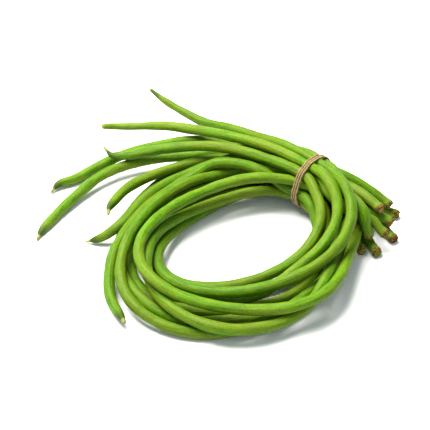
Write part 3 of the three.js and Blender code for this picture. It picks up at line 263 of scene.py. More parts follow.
        "9355 -767 1688 374,9027 -540 1718 373,8699 -307 1745 372,8403 -21 1793 369,8147 312 1728 365,7871 620 1667 360,"
        "7576 912 1629 354,7275 1195 1612 348,6967 1468 1614 344,6652 1726 1580 343,6322 1956 1512 344,6007 2195 1415 349,"
        "5717 2436 1256 354,5366 2611 1138 360,4965 2712 1081 364,4561 2813 1027 368,4152 2898 982 371,3744 2953 946 372,"
        "3352 2978 916 373,2981 2970 914 374,2628 2933 944 374,2269 2871 977 374,1893 2785 1012 374,1507 2671 1050 374,"
        "1121 2534 1086 374,742 2376 1118 374,372 2201 1142 374,10 2010 1154 374,-348 1812 1166 374,-700 1604 1187 374,"
        "-1044 1381 1205 374,-1380 1145 1220 374,-1706 897 1234 374,-2024 636 1246 374,-2331 365 1257 374,-2628 81 1266 374,"
        "-2913 -214 1274 374,-3186 -521 1281 374,-3445 -838 1285 374,-3689 -1166 1288 374,-3917 -1504 1289 374,-4128 -1853 1288 374,"
        "-4321 -2211 1284 374,-4495 -2580 1279 374,-4646 -2956 1270 374,-4774 -3339 1259 374,-4876 -3727 1244 374,-4952 -4120 1226 374,"
        "-4999 -4519 1203 374,-5015 -4922 1175 374,-4997 -5328 1144 374,-4945 -5732 1109 374,-4855 -6129 1067 374,-4727 -6513 1016 374,"
        "-4557 -6880 959 374,-4343 -7223 903 374,-4094 -7543 859 374,-3810 -7828 807 374,-3498 -8082 753 374,-3159 -8298 700 374,"
        "-2801 -8484 650 374,-2427 -8638 605 374,-2041 -8759 568 374,-1646 -8849 534 374,-1249 -8911 509 374,-853 -8947 491 374,"
        "-458 -8957 483 374,-62 -8944 484 374,339 -8906 495 374,742 -8847 517 374,1143 -8769 550 374,1538 -8674 593 374,"
        "1924 -8558 645 374,2297 -8420 708 374,2658 -8259 782 374,3007 -8079 867 374,3349 -7883 959 374,3684 -7674 1057 374,"
        "4011 -7454 1159 374,4331 -7224 1263 374,4644 -6986 1369 374,4953 -6741 1474 374,5262 -6495 1573 374,5568 -6243 1670 374,"
        "5866 -5983 1769 374,6152 -5713 1873 374,6423 -5430 1985 374,6675 -5133 2105 374,6906 -4823 2236 374,7114 -4503 2380 374,"
        "7298 -4172 2534 374,7452 -3830 2697 374,7568 -3479 2866 374,7640 -3119 3041 374,7665 -2756 3217 374,7641 -2392 3388 374,"
        "7574 -2032 3551 373,7469 -1677 3702 372,7330 -1324 3824 370,7165 -971 3916 367,6981 -617 3970 363,6788 -259 3977 357,"
        "6622 99 3893 352,6489 443 3730 347,6368 754 3540 344,6136 1038 3513 343,5879 1306 3513 343,5616 1572 3503 347,"
        "5357 1855 3454 352,5088 2147 3412 358,4810 2443 3374 364,4529 2739 3337 368,4241 3028 3297 371,3945 3306 3249 373,"
        "3642 3576 3195 374,3333 3839 3137 374,3018 4094 3081 374,2698 4344 3025 374,2377 4592 2965 374,2056 4836 2893 374,"
        "1736 5078 2810 374,1411 5314 2733 374,1081 5547 2661 374,749 5774 2592 374,413 5997 2521 374,73 6213 2451 374,"
        "-271 6423 2381 374,-620 6625 2313 374,-974 6820 2247 374,-1332 7007 2184 374,-1696 7186 2124 374,-2063 7356 2068 374,"
        "-2436 7517 2016 374,-2812 7670 1971 374,-3194 7810 1929 371,-3580 7934 1888 360,-3971 8038 1848 349,-4366 8121 1805 339,"
        "-4765 8187 1758 328,-5169 8222 1721 317,-5575 8251 1681 307,-5982 8248 1665 296,-6383 8267 1639 285,-6772 8200 1683 275,"
        "-7172 8237 1657 264,-7557 8129 1742 253,-7932 7999 1842 243,-8283 7830 1968 232"
    ),
    "bean_9": (
        "12069 -113 314 314,11641 145 334 334,11209 391 369 353,10777 633 418 372,10346 870 455 374,9969 1159 448 367,"
        "9542 1450 422 363,9036 1570 495 359,8588 1589 696 355,8182 1673 883 351,7790 1784 1037 348,7420 1896 1110 344,"
        "7098 2093 1125 343,6800 2334 1108 344,6519 2585 1064 347,6266 2826 925 352,5969 3033 814 357,5634 3195 730 362,"
        "5270 3301 675 366,4901 3403 609 369,4522 3484 549 372,4134 3543 495 373,3746 3577 452 374,3374 3589 421 374,"
        "3027 3579 400 374,2697 3555 383 374,2362 3520 375 374,2007 3477 374 374,1636 3418 374 374,1258 3341 374 374,"
        "880 3250 374 374,508 3146 374 374,142 3030 374 374,-218 2900 374 374,-572 2755 374 374,-919 2596 374 374,"
        "-1260 2422 374 374,-1593 2233 375 374,-1916 2029 375 374,-2229 1809 375 374,-2531 1574 375 374,-2821 1324 375 374,"
        "-3097 1059 376 374,-3358 780 376 374,-3603 486 377 374,-3832 179 377 374,-4043 -141 378 374,-4234 -473 379 374,"
        "-4406 -816 379 374,-4559 -1166 380 374,-4691 -1524 380 374,-4803 -1889 380 374,-4894 -2259 380 374,-4963 -2632 380 374,"
        "-5012 -3010 380 374,-5045 -3389 379 374,-5056 -3771 379 374,-5038 -4153 378 374,-4992 -4532 377 374,-4917 -4905 376 374,"
        "-4813 -5271 376 374,-4679 -5625 375 374,-4516 -5966 374 374,-4324 -6293 374 374,-4101 -6603 374 374,-3853 -6892 374 374,"
        "-3582 -7160 374 374,-3283 -7390 374 374,-2962 -7587 374 374,-2625 -7753 374 374,-2274 -7891 374 374,-1910 -8001 374 374,"
        "-1536 -8083 374 374,-1157 -8139 374 374,-775 -8167 374 374,-393 -8172 374 374,-10 -8155 374 374,370 -8116 374 374,"
        "749 -8058 374 374,1125 -7987 374 374,1497 -7903 374 374,1864 -7803 374 374,2228 -7690 374 374,2587 -7563 374 374,"
        "2941 -7418 374 374,3286 -7257 374 374,3624 -7079 374 374,3952 -6883 374 374,4269 -6669 374 374,4572 -6438 374 374,"
        "4861 -6189 374 374,5133 -5923 374 374,5385 -5638 375 374,5617 -5338 378 374,5831 -5025 397 374,6028 -4703 427 374,"
        "6192 -4369 492 374,6317 -4014 540 374,6418 -3661 636 374,6479 -3298 719 374,6523 -2944 844 374,6529 -2594 983 374,"
        "6507 -2242 1117 370,6444 -1897 1256 368,6363 -1563 1410 365,6248 -1265 1606 362,6117 -978 1799 358,5973 -651 1880 352,"
        "5822 -323 1920 348,5622 -37 1888 344,5384 204 1843 343,5142 434 1834 343,4881 644 1873 346,4552 757 1926 350,"
        "4250 945 2025 355,3972 1169 2154 360,3667 1349 2301 365,3334 1481 2438 368,2998 1613 2570 371,2664 1765 2676 372,"
        "2327 1921 2757 373,1981 2066 2808 374,1623 2188 2830 374,1260 2291 2828 374,895 2377 2805 374,533 2453 2766 374,"
        "173 2526 2702 374,-185 2589 2611 374,-532 2634 2467 374,-859 2615 2275 374,-1175 2518 2087 374,-1493 2365 1943 374,"
        "-1816 2188 1843 374,-2132 1994 1753 374,-2442 1784 1677 374,-2745 1560 1615 374,-3041 1320 1572 374,-3323 1064 1545 374,"
        "-3594 794 1531 374,-3852 513 1526 374,-4097 221 1528 374,-4327 -80 1536 374,-4541 -389 1548 374,-4744 -704 1558 374,"
        "-4939 -1026 1564 374,-5131 -1355 1567 374,-5318 -1688 1567 374,-5498 -2028 1567 374,-5672 -2370 1566 374,-5840 -2715 1565 374,"
        "-6003 -3062 1562 374,-6160 -3412 1556 374,-6308 -3766 1545 374,-6446 -4123 1529 374,-6570 -4484 1503 374,-6679 -4847 1468 374,"
        "-6773 -5214 1422 374,-6853 -5584 1372 374,-6912 -5953 1293 374,-6948 -6318 1186 374,-6973 -6684 1078 374,-6982 -7051 970 374,"
        "-6973 -7418 863 374,-6944 -7785 761 374,-6890 -8151 670 374,-6810 -8514 591 373,-6694 -8871 539 362,-6548 -9218 520 342,"
        "-6385 -9559 537 312,-6218 -9897 577 274,-6069 -10238 661 228,-5932 -10579 766 176,-5781 -10924 824 112"
    ),
}

TIE_CENTRE = np.array([63.089, 13.155, 20.880])
TIE_AXIS = np.array([-0.7312, 0.6822, 0.0000])
TIE_SIDE = np.array([0.6822, 0.7312, 0.0000])
# Radius of the tie's first lay round the bundle, at even angles from the
# outer side over the top.
TIE_RADII = np.array([19.03, 19.19, 19.09, 19.09, 19.31, 18.93, 19.31, 19.01, 19.27, 19.59, 19.18, 19.53, 18.75, 18.18, 18.20, 18.93, 19.32, 19.12, 19.63, 19.13, 19.28, 19.19, 18.72, 19.08, 19.43, 19.22, 19.57, 19.95, 19.32, 19.50])

# Per pod: seed, turn of the seams at the stem (degrees), turns per metre,
# brightness, yellowness, cut face (0 fibrous tan, 1 green, 2 dark brown),
# swelling, tip knob radius, tip kind (0 pale knob, 1 blunt, 2 thin hook).
LOOKS = {
    "bean_1": (11, 40, 0.30, 1.00, 0.55, 1, 1.1, 1.15, 0),
    "bean_2": (12, 100, -0.45, 1.03, 0.45, 0, 0.9, 1.05, 0),
    "bean_3": (13, 10, 0.60, 0.97, 0.40, 1, 1.0, 1.15, 3),
    "bean_4": (14, 70, -0.25, 0.95, 0.35, 0, 1.0, 1.00, 0),
    "bean_5": (15, 150, 0.50, 0.98, 0.50, 0, 1.2, 1.25, 0),
    "bean_6": (16, 20, -0.55, 1.00, 0.50, 0, 1.0, 1.10, 0),
    "bean_7": (17, 120, 0.35, 0.98, 0.60, 2, 1.1, 1.05, 2),
    "bean_8": (18, 80, 0.45, 1.03, 0.65, 1, 1.2, 1.90, 1),
    "bean_9": (19, 0, -0.35, 0.97, 0.40, 1, 1.0, 1.20, 0),
}

# Distance from the tip and radius there, for a short tip with a knob (0), a
# hooked one (2) and a plain narrow one (3). The first three radii are shares
# of the knob's.
TIP_AT = {0: [0, 1.4, 3.0, 4.6, 7.0, 10.0, 15.0, 26.0],
          2: [0, 1.4, 3.4, 6.0, 9.0, 13.0, 18.0, 26.0],
          3: [0, 1.4, 3.4, 6.0, 10.0, 15.0, 20.0, 26.0]}
TIP_R = {0: [0.85, 0.98, 1.22, 1.95, 2.55, 2.95, 3.35, 3.65],
         2: [0.70, 0.98, 1.25, 1.95, 2.70, 3.20, 3.50, 3.70],
         3: [1.0, 1.08, 1.15, 1.55, 1.95, 2.45, 2.90, 3.35]}

# Small bends of the free tips: distance from the tip, spread (mm), and the
# shift to the right and upwards as the camera sees it, mm.
TIP_BENDS = {
    "bean_1": [(20, 12, 0.5, -0.5)],
    "bean_2": [(8, 7, -1.0, 1.7)],
    "bean_4": [(9, 9, 0.0, -1.3)],
    "bean_5": [(6, 6, -1.0, 0.3)],
    "bean_7": [(0, 2.6, -0.3, 1.5), (7, 3.5, -0.7, -0.7)],
}

AROUND = 40          # vertices round a pod
STEP = 1.05          # spacing of its rings, mm


# ----------------------------------------------------------------- helpers
def read_line(text):
    rows = [[float(v) / 100.0 for v in r.split()] for r in text.split(",")]
    return np.array(rows)


def b_spline(points, per=16):
    """A uniform cubic B-spline over the rows, clamped at both ends."""
    p = np.vstack([2 * points[0] - points[1], points, 2 * points[-1] - points[-2]])
    t = np.linspace(0, 1, per, endpoint=False)[:, None, None]
    a, b, c, d = p[:-3], p[1:-2], p[2:-1], p[3:]
    w0, w1 = (1 - t) ** 3 / 6, (3 * t**3 - 6 * t**2 + 4) / 6
    w2, w3 = (-3 * t**3 + 3 * t**2 + 3 * t + 1) / 6, t**3 / 6
    out = w0 * a + w1 * b + w2 * c + w3 * d
    out = out.transpose(1, 0, 2).reshape(-1, points.shape[1])
    return np.vstack([out, points[-1]])


def stations_at(dense, at):
    seg = np.linalg.norm(np.diff(dense[:, :3], axis=0), axis=1)
    s = np.concatenate([[0], np.cumsum(seg)])
    return np.stack([np.interp(at, s, dense[:, k]) for k in range(dense.shape[1])], 1)


def length_of(dense):
    return float(np.linalg.norm(np.diff(dense[:, :3], axis=0), axis=1).sum())


def carried_frames(c, first):
    """Tangents and a normal carried along the line without twist."""
    t = np.gradient(c, axis=0)
    t /= np.linalg.norm(t, axis=1)[:, None]
    n = np.zeros_like(c)
    v = first - t[0] * np.dot(first, t[0])
    n[0] = v / np.linalg.norm(v)
    for i in range(1, len(c)):
        v = n[i - 1] - t[i] * np.dot(n[i - 1], t[i])
        n[i] = v / np.linalg.norm(v)
    return t, n, np.cross(t, n)


def waves(rng, s, low, high, count):
    """A smooth wandering value of about unit size, with periods low..high."""
    out = np.zeros_like(s)
    for _ in range(count):
        period = rng.uniform(low, high)
        out += math.sqrt(2.0 / count) * np.sin(2 * math.pi * (s / period + rng.random()))
    return out


def smooth(a, b, x):
    t = np.clip((x - a) / (b - a), 0, 1)
    return t * t * (3 - 2 * t)


def grid_faces(rows, around, first=0):
    i = np.arange(rows - 1)[:, None] * around + first
    j = np.arange(around)[None, :]
    k = (j + 1) % around
    return np.stack([i + j, i + k, i + around + k, i + around + j], 2).reshape(-1, 4)


def mesh_object(name, verts_mm, quads, tris, floats, vectors, material, uv=None):
    me = bpy.data.meshes.new(name)
    quads = np.asarray(quads, int).reshape(-1, 4)
    tris = np.asarray(tris, int).reshape(-1, 3)
    me.vertices.add(len(verts_mm))
    me.vertices.foreach_set("co", (np.asarray(verts_mm) * 0.001).astype(np.float32).ravel())
    loops = np.concatenate([quads.ravel(), tris.ravel()]).astype(np.int32)
    me.loops.add(len(loops))
    me.loops.foreach_set("vertex_index", loops)
    starts = np.concatenate([np.arange(len(quads)) * 4, len(quads) * 4 + np.arange(len(tris)) * 3])
    me.polygons.add(len(starts))
    me.polygons.foreach_set("loop_start", starts.astype(np.int32))
    me.update(calc_edges=True)
    me.validate()
    me.polygons.foreach_set("use_smooth", np.ones(len(me.polygons), bool))
    for key, values in floats.items():
        a = me.attributes.new(key, "FLOAT", "POINT")
        a.data.foreach_set("value", np.asarray(values, np.float32))
    for key, values in vectors.items():
        a = me.attributes.new(key, "FLOAT_VECTOR", "POINT")
        a.data.foreach_set("vector", np.asarray(values, np.float32).ravel())
    if uv is not None and len(me.loops) == len(uv):
        layer = me.uv_layers.new(name="OFBake", do_init=False)
        layer.uv.foreach_set("vector", np.asarray(uv, np.float32).ravel())
    me.materials.append(material)
    ob = bpy.data.objects.new(name, me)
    bpy.context.scene.collection.objects.link(ob)
    return ob


# --------------------------------------------------------------- materials
def new_material(name):
    m = bpy.data.materials.new(name)
    m.use_nodes = True
    nt = m.node_tree
    nt.nodes.clear()
    return m, nt


class Nodes:
    """Short ways to add nodes and link them."""

    def __init__(self, nt):
        self.nt = nt

    def add(self, kind, **inputs):
        n = self.nt.nodes.new(kind)
        for key, value in inputs.items():
            self.put(n, key, value)
        return n

    def put(self, node, key, value):
        socket = node.inputs[key] if not isinstance(key, int) else node.inputs[key]
        if isinstance(value, bpy.types.NodeSocket):
            self.nt.links.new(value, socket)
        else:
            socket.default_value = value

    def attribute(self, name):
        n = self.nt.nodes.new("ShaderNodeAttribute")
        n.attribute_name = name
        return n

    def math(self, op, a, b=0.0, c=0.0, clamp=False):
        n = self.nt.nodes.new("ShaderNodeMath")
        n.operation = op
        n.use_clamp = clamp
        for i, v in enumerate((a, b, c)):
            self.put(n, i, v)
        return n.outputs[0]

    def vmul(self, v, by):
        n = self.nt.nodes.new("ShaderNodeVectorMath")
        n.operation = "MULTIPLY"
        self.put(n, 0, v)
        self.put(n, 1, by)
        return n.outputs[0]

    def vadd(self, v, by):
        n = self.nt.nodes.new("ShaderNodeVectorMath")
        n.operation = "ADD"
        self.put(n, 0, v)
        self.put(n, 1, by)
        return n.outputs[0]

    def noise(self, vector, scale, detail=3.0, rough=0.55, distortion=0.0):
        n = self.nt.nodes.new("ShaderNodeTexNoise")
        n.noise_dimensions = "3D"
        self.put(n, "Vector", vector)
        self.put(n, "Scale", scale)
        self.put(n, "Detail", detail)
        self.put(n, "Roughness", rough)
        self.put(n, "Distortion", distortion)
        return n.outputs[0]

    def span(self, value, a, b, lo=0.0, hi=1.0, kind="SMOOTHSTEP"):
        n = self.nt.nodes.new("ShaderNodeMapRange")
        n.interpolation_type = kind
        n.clamp = True
        self.put(n, "Value", value)
        self.put(n, "From Min", a)
        self.put(n, "From Max", b)
        self.put(n, "To Min", lo)
        self.put(n, "To Max", hi)
        return n.outputs[0]

    def mix(self, factor, a, b, blend="MIX"):
        n = self.nt.nodes.new("ShaderNodeMix")
        n.data_type = "RGBA"
        n.blend_type = blend
        n.clamp_factor = True
        self.put(n, 0, factor)
        self.put(n, 6, a)
        self.put(n, 7, b)
        return n.outputs[2]

    def bump(self, height, strength, distance, normal=None):
        n = self.nt.nodes.new("ShaderNodeBump")
        self.put(n, "Height", height)
        self.put(n, "Strength", strength)
        self.put(n, "Distance", distance)
        if normal is not None:
            self.put(n, "Normal", normal)
        return n.outputs[0]


def srgb(r, g, b):
    def lin(v):
        v /= 255.0
        return v / 12.92 if v <= 0.04045 else ((v + 0.055) / 1.055) ** 2.4
    return (lin(r), lin(g), lin(b), 1.0)


def pod_material(name, seed, bright, yellow, cut_kind, blunt):
    """Green pod skin from lengthwise streaks and soft blotches, browner at the cut, pale at the tip. pod_co is (x, y)
    on the section and the length, in mm; pod_end is the distance from the stem end and from the tip, and how far a
    point lies inside the cut; the seam attribute is up to 0.9 on the one raised seam cord, where a pale painted
    highlight runs along the ridge."""
    m, nt = new_material(name)
    N = Nodes(nt)
    co = N.vadd(N.attribute("pod_co").outputs["Vector"], (seed * 37.1, seed * 11.7, seed * 53.9))
    ends = N.add("ShaderNodeSeparateXYZ", Vector=N.attribute("pod_end").outputs["Vector"]).outputs
    seam_highlight = N.attribute("pod_seam_highlight").outputs["Fac"]

    streak = N.noise(N.vmul(co, (1.7, 1.7, 0.06)), 1.0, 3.0, 0.6)
    grain = N.noise(N.vmul(co, (0.85, 0.85, 0.75)), 1.0, 3.0, 0.66)
    fine = N.noise(N.vmul(co, (3.6, 3.6, 0.22)), 1.0, 3.0, 0.62)
    blotch = N.noise(N.vmul(co, (0.38, 0.38, 0.09)), 1.0, 4.0, 0.62, 0.5)
    patch = N.noise(N.vmul(co, (0.10, 0.10, 0.016)), 1.0, 2.0, 0.5)

    k = bright
    deep = srgb(28 * k, 76 * k, 0)
    mid = srgb(72 * k, 118 * k, 0)
    pale = srgb((97 + 14 * yellow) * k, (109 + 4 * yellow) * k, (18 + 14 * yellow) * k)
    colour = N.mix(N.span(blotch, 0.34, 0.62, 0.45, 1.0), deep, mid)
    colour = N.mix(N.span(patch, 0.36, 0.66, 0.0, 0.45), colour, pale)
    colour = N.mix(N.span(streak, 0.48, 0.68, 0.0, 0.50), colour, pale)
    colour = N.mix(N.span(streak, 0.32, 0.48, 0.45, 0.0), colour, deep)
    colour = N.mix(N.span(fine, 0.50, 0.72, 0.0, 0.30), colour, pale)
    colour = N.mix(N.span(fine, 0.30, 0.46, 0.25, 0.0), colour, deep)
    colour = N.mix(N.span(grain, 0.50, 0.66, 0.0, 0.42), colour, pale)
    colour = N.mix(N.span(grain, 0.32, 0.48, 0.42, 0.0), colour, deep)
    # painted highlight: pale laid along the raised seam cord, where the ridge catches the light; the grooves beside it
    # come from the shape
    colour = N.mix(N.math("MULTIPLY", seam_highlight, 0.50), colour, pale)

    # towards the tip: paler body, a dark neck, then a straw-coloured point
    tip = ends[1]
    near_tip = N.span(tip, 4.0, 55.0 if blunt else 40.0, 0.50 if blunt else 0.08, 0.0)
    colour = N.mix(near_tip, colour, srgb(104, 122, 40))
    if not blunt:
        neck = N.math("MULTIPLY", N.span(tip, 2.2, 3.4), N.span(tip, 4.5, 14.0, 1.0, 0.0))
        colour = N.mix(N.math("MULTIPLY", neck, 0.80), colour, srgb(36, 52, 8))
    straw = N.mix(N.span(fine, 0.42, 0.62), srgb(138, 146, 82), srgb(92, 92, 40))
    colour = N.mix(N.span(tip, 1.6 if not blunt else 0.8, 3.4 if not blunt else 4.5,
                          1.0 if not blunt else 0.6, 0.0), colour,
                   straw if not blunt else srgb(112, 130, 46))
    if not blunt:
        brown_tip = N.math("MULTIPLY", N.span(tip, 0.2, 1.1, 1.0, 0.0), N.span(streak, 0.46, 0.58))
        colour = N.mix(N.math("MULTIPLY", brown_tip, 0.6), colour, srgb(104, 70, 32))

    # the cut: brown creeping up the skin, a dark ragged rim, and the face
    stem = ends[0]
    speck = N.noise(N.vmul(co, (2.2, 2.2, 1.0)), 1.0, 3.0, 0.6)
    tooth = N.noise(N.vmul(co, (0.85, 0.85, 0.10)), 1.0, 2.0, 0.6)
    creep = N.math("ADD", stem, N.span(tooth, 0.34, 0.66, 1.9, -1.9, "LINEAR"))
    fleck = N.noise(N.vmul(co, (1.1, 1.1, 0.9)), 1.0, 2.0, 0.55)
    brown = N.mix(N.span(speck, 0.40, 0.62), srgb(98, 54, 24), srgb(48, 26, 10))
    brown = N.mix(N.span(fleck, 0.54, 0.66, 0.0, 0.85), brown, srgb(158, 128, 70))
    colour = N.mix(N.span(stem, 1.0, 12.0, 0.30, 0.0), colour, srgb(112, 126, 40))
    colour = N.mix(N.span(creep, 1.0, 1.9, 0.95, 0.0), colour, brown)
    inside = ends[2]
    if cut_kind == 0:
        flesh = N.mix(N.span(fleck, 0.46, 0.58), srgb(172, 138, 84), srgb(74, 38, 16))
    elif cut_kind == 1:
        flesh = N.mix(N.span(fleck, 0.50, 0.62), srgb(96, 120, 30), srgb(66, 44, 16))
    else:
        flesh = N.mix(N.span(speck, 0.44, 0.62), srgb(100, 62, 32), srgb(44, 24, 10))
    colour = N.mix(N.span(inside, 0.46, 0.72), colour, flesh)

    rough = N.math("ADD", N.span(streak, 0.3, 0.7, 0.58, 0.46), N.span(stem, 0.8, 2.4, 0.30, 0.0))
    ribs = N.math("ADD", N.math("MULTIPLY", streak, 0.75), N.math("MULTIPLY", fine, 0.25))
    lumps = N.noise(N.vmul(co, (0.30, 0.30, 0.12)), 1.0, 2.0, 0.5)
    normal = N.bump(ribs, 0.6, 0.00022)
    normal = N.bump(lumps, 0.40, 0.0006, normal)
    normal = N.bump(grain, 0.45, 0.00030, normal)
    shader = N.add("ShaderNodeBsdfPrincipled", **{"Base Color": colour, "Roughness": rough, "Normal": normal})
    shader.inputs["IOR"].default_value = 1.42
    shader.inputs["Specular IOR Level"].default_value = 0.14
    shader.inputs["Subsurface Weight"].default_value = 0.10
    shader.inputs["Subsurface Radius"].default_value = (0.6, 1.0, 0.25)
    shader.inputs["Subsurface Scale"].default_value = 0.0012
    out = N.add("ShaderNodeOutputMaterial", Surface=shader.outputs[0])
    return m


def twine_material():
    """Jute: fibres run along each ply (twine_co: section x, y, length in mm), pale where they stand up, with dark brown
    painted shade on the ply sides that face into the twine, between the plies (a per-vertex shade attribute)."""
    m, nt = new_material("jute_twine_fibre")
    N = Nodes(nt)
    co = N.attribute("twine_co").outputs["Vector"]
    painted_ply_shade = N.attribute("twine_painted_shade").outputs["Fac"]
    fibre = N.noise(N.vmul(co, (9.0, 9.0, 0.9)), 1.0, 4.0, 0.65, 0.3)
    strand = N.noise(N.vmul(co, (3.0, 3.0, 0.35)), 1.0, 3.0, 0.6)
    patch = N.noise(N.vmul(co, (0.5, 0.5, 0.10)), 1.0, 2.0, 0.5)
    colour = N.mix(N.span(fibre, 0.36, 0.66), srgb(92, 70, 38), srgb(182, 156, 110))
    colour = N.mix(N.span(strand, 0.50, 0.74, 0.0, 0.6), colour, srgb(212, 190, 146))
    colour = N.mix(N.span(patch, 0.40, 0.66, 0.0, 0.35), colour, srgb(126, 98, 56))
    # painted shade: dark brown laid where the ply surface faces into the twine, between the plies
    colour = N.mix(N.span(painted_ply_shade, 0.05, 0.7, 0.0, 0.92), colour, srgb(46, 32, 14))
    height = N.math("ADD", N.math("MULTIPLY", fibre, 0.7), N.math("MULTIPLY", strand, 0.5))
    normal = N.bump(height, 0.9, 0.00022)
    shader = N.add("ShaderNodeBsdfPrincipled", **{
        "Base Color": colour, "Roughness": N.span(fibre, 0.3, 0.7, 0.95, 0.75), "Normal": normal})
    shader.inputs["Specular IOR Level"].default_value = 0.25
    shader.inputs["Sheen Weight"].default_value = 0.15
    shader.inputs["Sheen Roughness"].default_value = 0.5
    N.add("ShaderNodeOutputMaterial", Surface=shader.outputs[0])
    return m


# -------------------------------------------------------------------- pods
RUNS = 5             # runs of skin laid side by side on the bake map
EDGE = 0.0022        # room left round each of them


def skin_map(s, around):
    """Corner positions of every skin quad, on RUNS upright strips that fill
    all but the right hand edge of the map."""
    wide = 0.90 / RUNS
    tall = s[-1] / RUNS
    mid = 0.5 * (s[:-1] + s[1:])
    run = np.minimum((mid / tall).astype(int), RUNS - 1)
    # each run is stretched to the full height between its own end rings
    low = np.array([s[:-1][run == r].min() for r in range(RUNS)])
    high = np.array([s[1:][run == r].max() for r in range(RUNS)])
    def up(v):
        return EDGE + (v - low[run]) / (high[run] - low[run]) * (1 - 2 * EDGE)
    y0, y1 = up(s[:-1]), up(s[1:])
    j = np.arange(around)
    x0 = run[:, None] * wide + EDGE + j[None, :] / around * (wide - 2 * EDGE)
    x1 = run[:, None] * wide + EDGE + (j[None, :] + 1) / around * (wide - 2 * EDGE)
    y0 = np.broadcast_to(y0[:, None], x0.shape)
    y1 = np.broadcast_to(y1[:, None], x0.shape)
    corners = np.stack([np.stack([x0, y0], 2), np.stack([x1, y0], 2),
                        np.stack([x1, y1], 2), np.stack([x0, y1], 2)], 2)
    return corners.reshape(-1, 2)


def build_pod(name):
    seed, seam_at, twist, bright, yellow, cut_kind, swell, knob, tip_kind = LOOKS[name]
    rng = np.random.default_rng(seed)
    dense = b_spline(read_line(PODS[name]))
    total = length_of(dense)
    # ring positions: close together at both ends
    head = np.array([0, 0.22, 0.5, 0.85, 1.3, 1.9, 2.6, 3.4])
    tail = total - np.array([3.6, 2.8, 2.1, 1.5, 1.0, 0.6, 0.25, 0.0])
    count = int(round((tail[0] - head[-1]) / STEP))
    s = np.concatenate([head[:-1], np.linspace(head[-1], tail[0], count + 1)[:-1], tail])
    c = stations_at(dense, s)
    radius = c[:, 3].copy()
    c = c[:, :3]
    for at, spread, right, up in TIP_BENDS.get(name, []):
        share = np.exp(-(((total - s) - at) / spread) ** 2)[:, None]
        c = c + share * (right * np.array([1.0, 0, 0]) + up * np.array([0, 0.643, 0.766]))
    t, n, b = carried_frames(c, np.array([0.0, 0.0, 1.0]) + 0.01)
    from_tip = total - s

    # the section's size along the pod
    body = smooth(6, 40, s) * smooth(2, 26, from_tip)
    long_wave = waves(rng, s, 34, 95, 4) * 0.5
    short_wave = waves(rng, s, 15, 30, 3) * 0.5
    size = 0.972 + body * swell * (0.042 * np.tanh(long_wave) + 0.032 * np.tanh(short_wave))
    # and here and there the pod is drawn in between two seeds
    drawn = waves(np.random.default_rng(seed + 200), s, 22, 60, 4)
    size -= body * 0.045 * smooth(0.1, 1.1, drawn)
    near_stem = (1 - smooth(12, 60, s)) * smooth(2, 8, s)
    size += near_stem * 0.05 * np.sin(2 * math.pi * (s / rng.uniform(17, 24) + rng.random()))
    # cut end: a slim neck that flares a little at the cut
    neck = 1 - 0.07 * np.exp(-((s - 7.5) / 4.0) ** 2)
    flare = 1 + 0.13 * np.exp(-((s - 1.6) / 1.6) ** 2)
    size *= neck * flare
    size = np.where(radius < 3.6, np.minimum(size, 1.10), np.minimum(size, 1.035))
    radius = radius * size
    # tip: neck and knob
    if tip_kind != 1:
        slim = np.interp(from_tip, TIP_AT[tip_kind], [v * knob if i < 3 else v for i, v in enumerate(TIP_R[tip_kind])])
        near = 1 - smooth(18, 26, from_tip)
        radius = radius * (1 - near) + slim * near * (1 + 0.5 * (size - 1))

    th = np.arange(AROUND) * 2 * math.pi / AROUND
    turn = math.radians(seam_at) + 2 * math.pi * twist * s / 1000.0
    rel = th[None, :] - turn[:, None]
    # seeds press the two flanks out, a little unevenly
    pitch = rng.uniform(11.5, 13.5)
    phase = s / pitch + 0.35 * waves(rng, s, 60, 140, 2)
    seeds = (0.5 + 0.5 * np.cos(2 * math.pi * phase)) ** 1.6 * (0.55 + 0.45 * np.tanh(waves(rng, s, 45, 120, 3)))
    seeds *= body
    flank = np.sin(rel) ** 2
    shape = 1 + 0.014 * swell * seeds[:, None] * (2 * flank - 0.6)
    shape -= 0.018 * body[:, None] * (np.cos(2 * rel)) * 0.5
    # the two seams: one raised cord, one fine groove
    def wrap(a):
        return (a + math.pi) % (2 * math.pi) - math.pi
    d0 = wrap(rel) * radius[:, None]
    d1 = wrap(rel - math.pi) * radius[:, None]
    cord = np.exp(-(d0 / 0.34) ** 2)
    groove = np.exp(-((np.abs(d0) - 0.75) / 0.35) ** 2)
    back = np.exp(-(d1 / 0.38) ** 2)
    fade = (smooth(0, 14, s) * smooth(1, 12, from_tip))[:, None]
    lift = (0.085 * cord - 0.075 * groove - 0.085 * back) * fade
    # faint lengthwise ribs that come and go
    for m in (3, 5, 7, 9, 12):
        lift += fade * 0.040 * np.sin(m * rel + rng.uniform(0, 6.28) + 0.6 * waves(rng, s, 60, 150, 2)[:, None]) \
            * (0.6 + 0.4 * waves(rng, s, 40, 110, 2))[:, None]
    rr = radius[:, None] * shape + lift
    dirs = np.cos(th)[None, :, None] * n[:, None, :] + np.sin(th)[None, :, None] * b[:, None, :]
    ring = c[:, None, :] + rr[:, :, None] * dirs

    # ragged rim: the first rings step back and forth along the pod
    jag = np.zeros(AROUND)
    for m in (4, 7, 9, 13, 17):
        jag += rng.uniform(0.4, 1.0) * np.sin(m * th + rng.uniform(0, 6.28))
    jag = jag / 2.2
    for i, share in ((0, 1.0), (1, 0.8), (2, 0.5), (3, 0.25)):
        ring[i] -= t[0] * (0.26 * jag * share)[:, None]
        ring[i] += dirs[i] * (0.10 * np.roll(jag, 3) * share)[:, None]

    rows = [ring.reshape(-1, 3)]
    co = [np.stack([rr * np.cos(th), rr * np.sin(th), np.broadcast_to(s[:, None], rr.shape)], 2).reshape(-1, 3)]
    ends = [np.stack([np.broadcast_to(s[:, None], rr.shape), np.broadcast_to(from_tip[:, None], rr.shape),
                      np.zeros(rr.shape)], 2).reshape(-1, 3)]
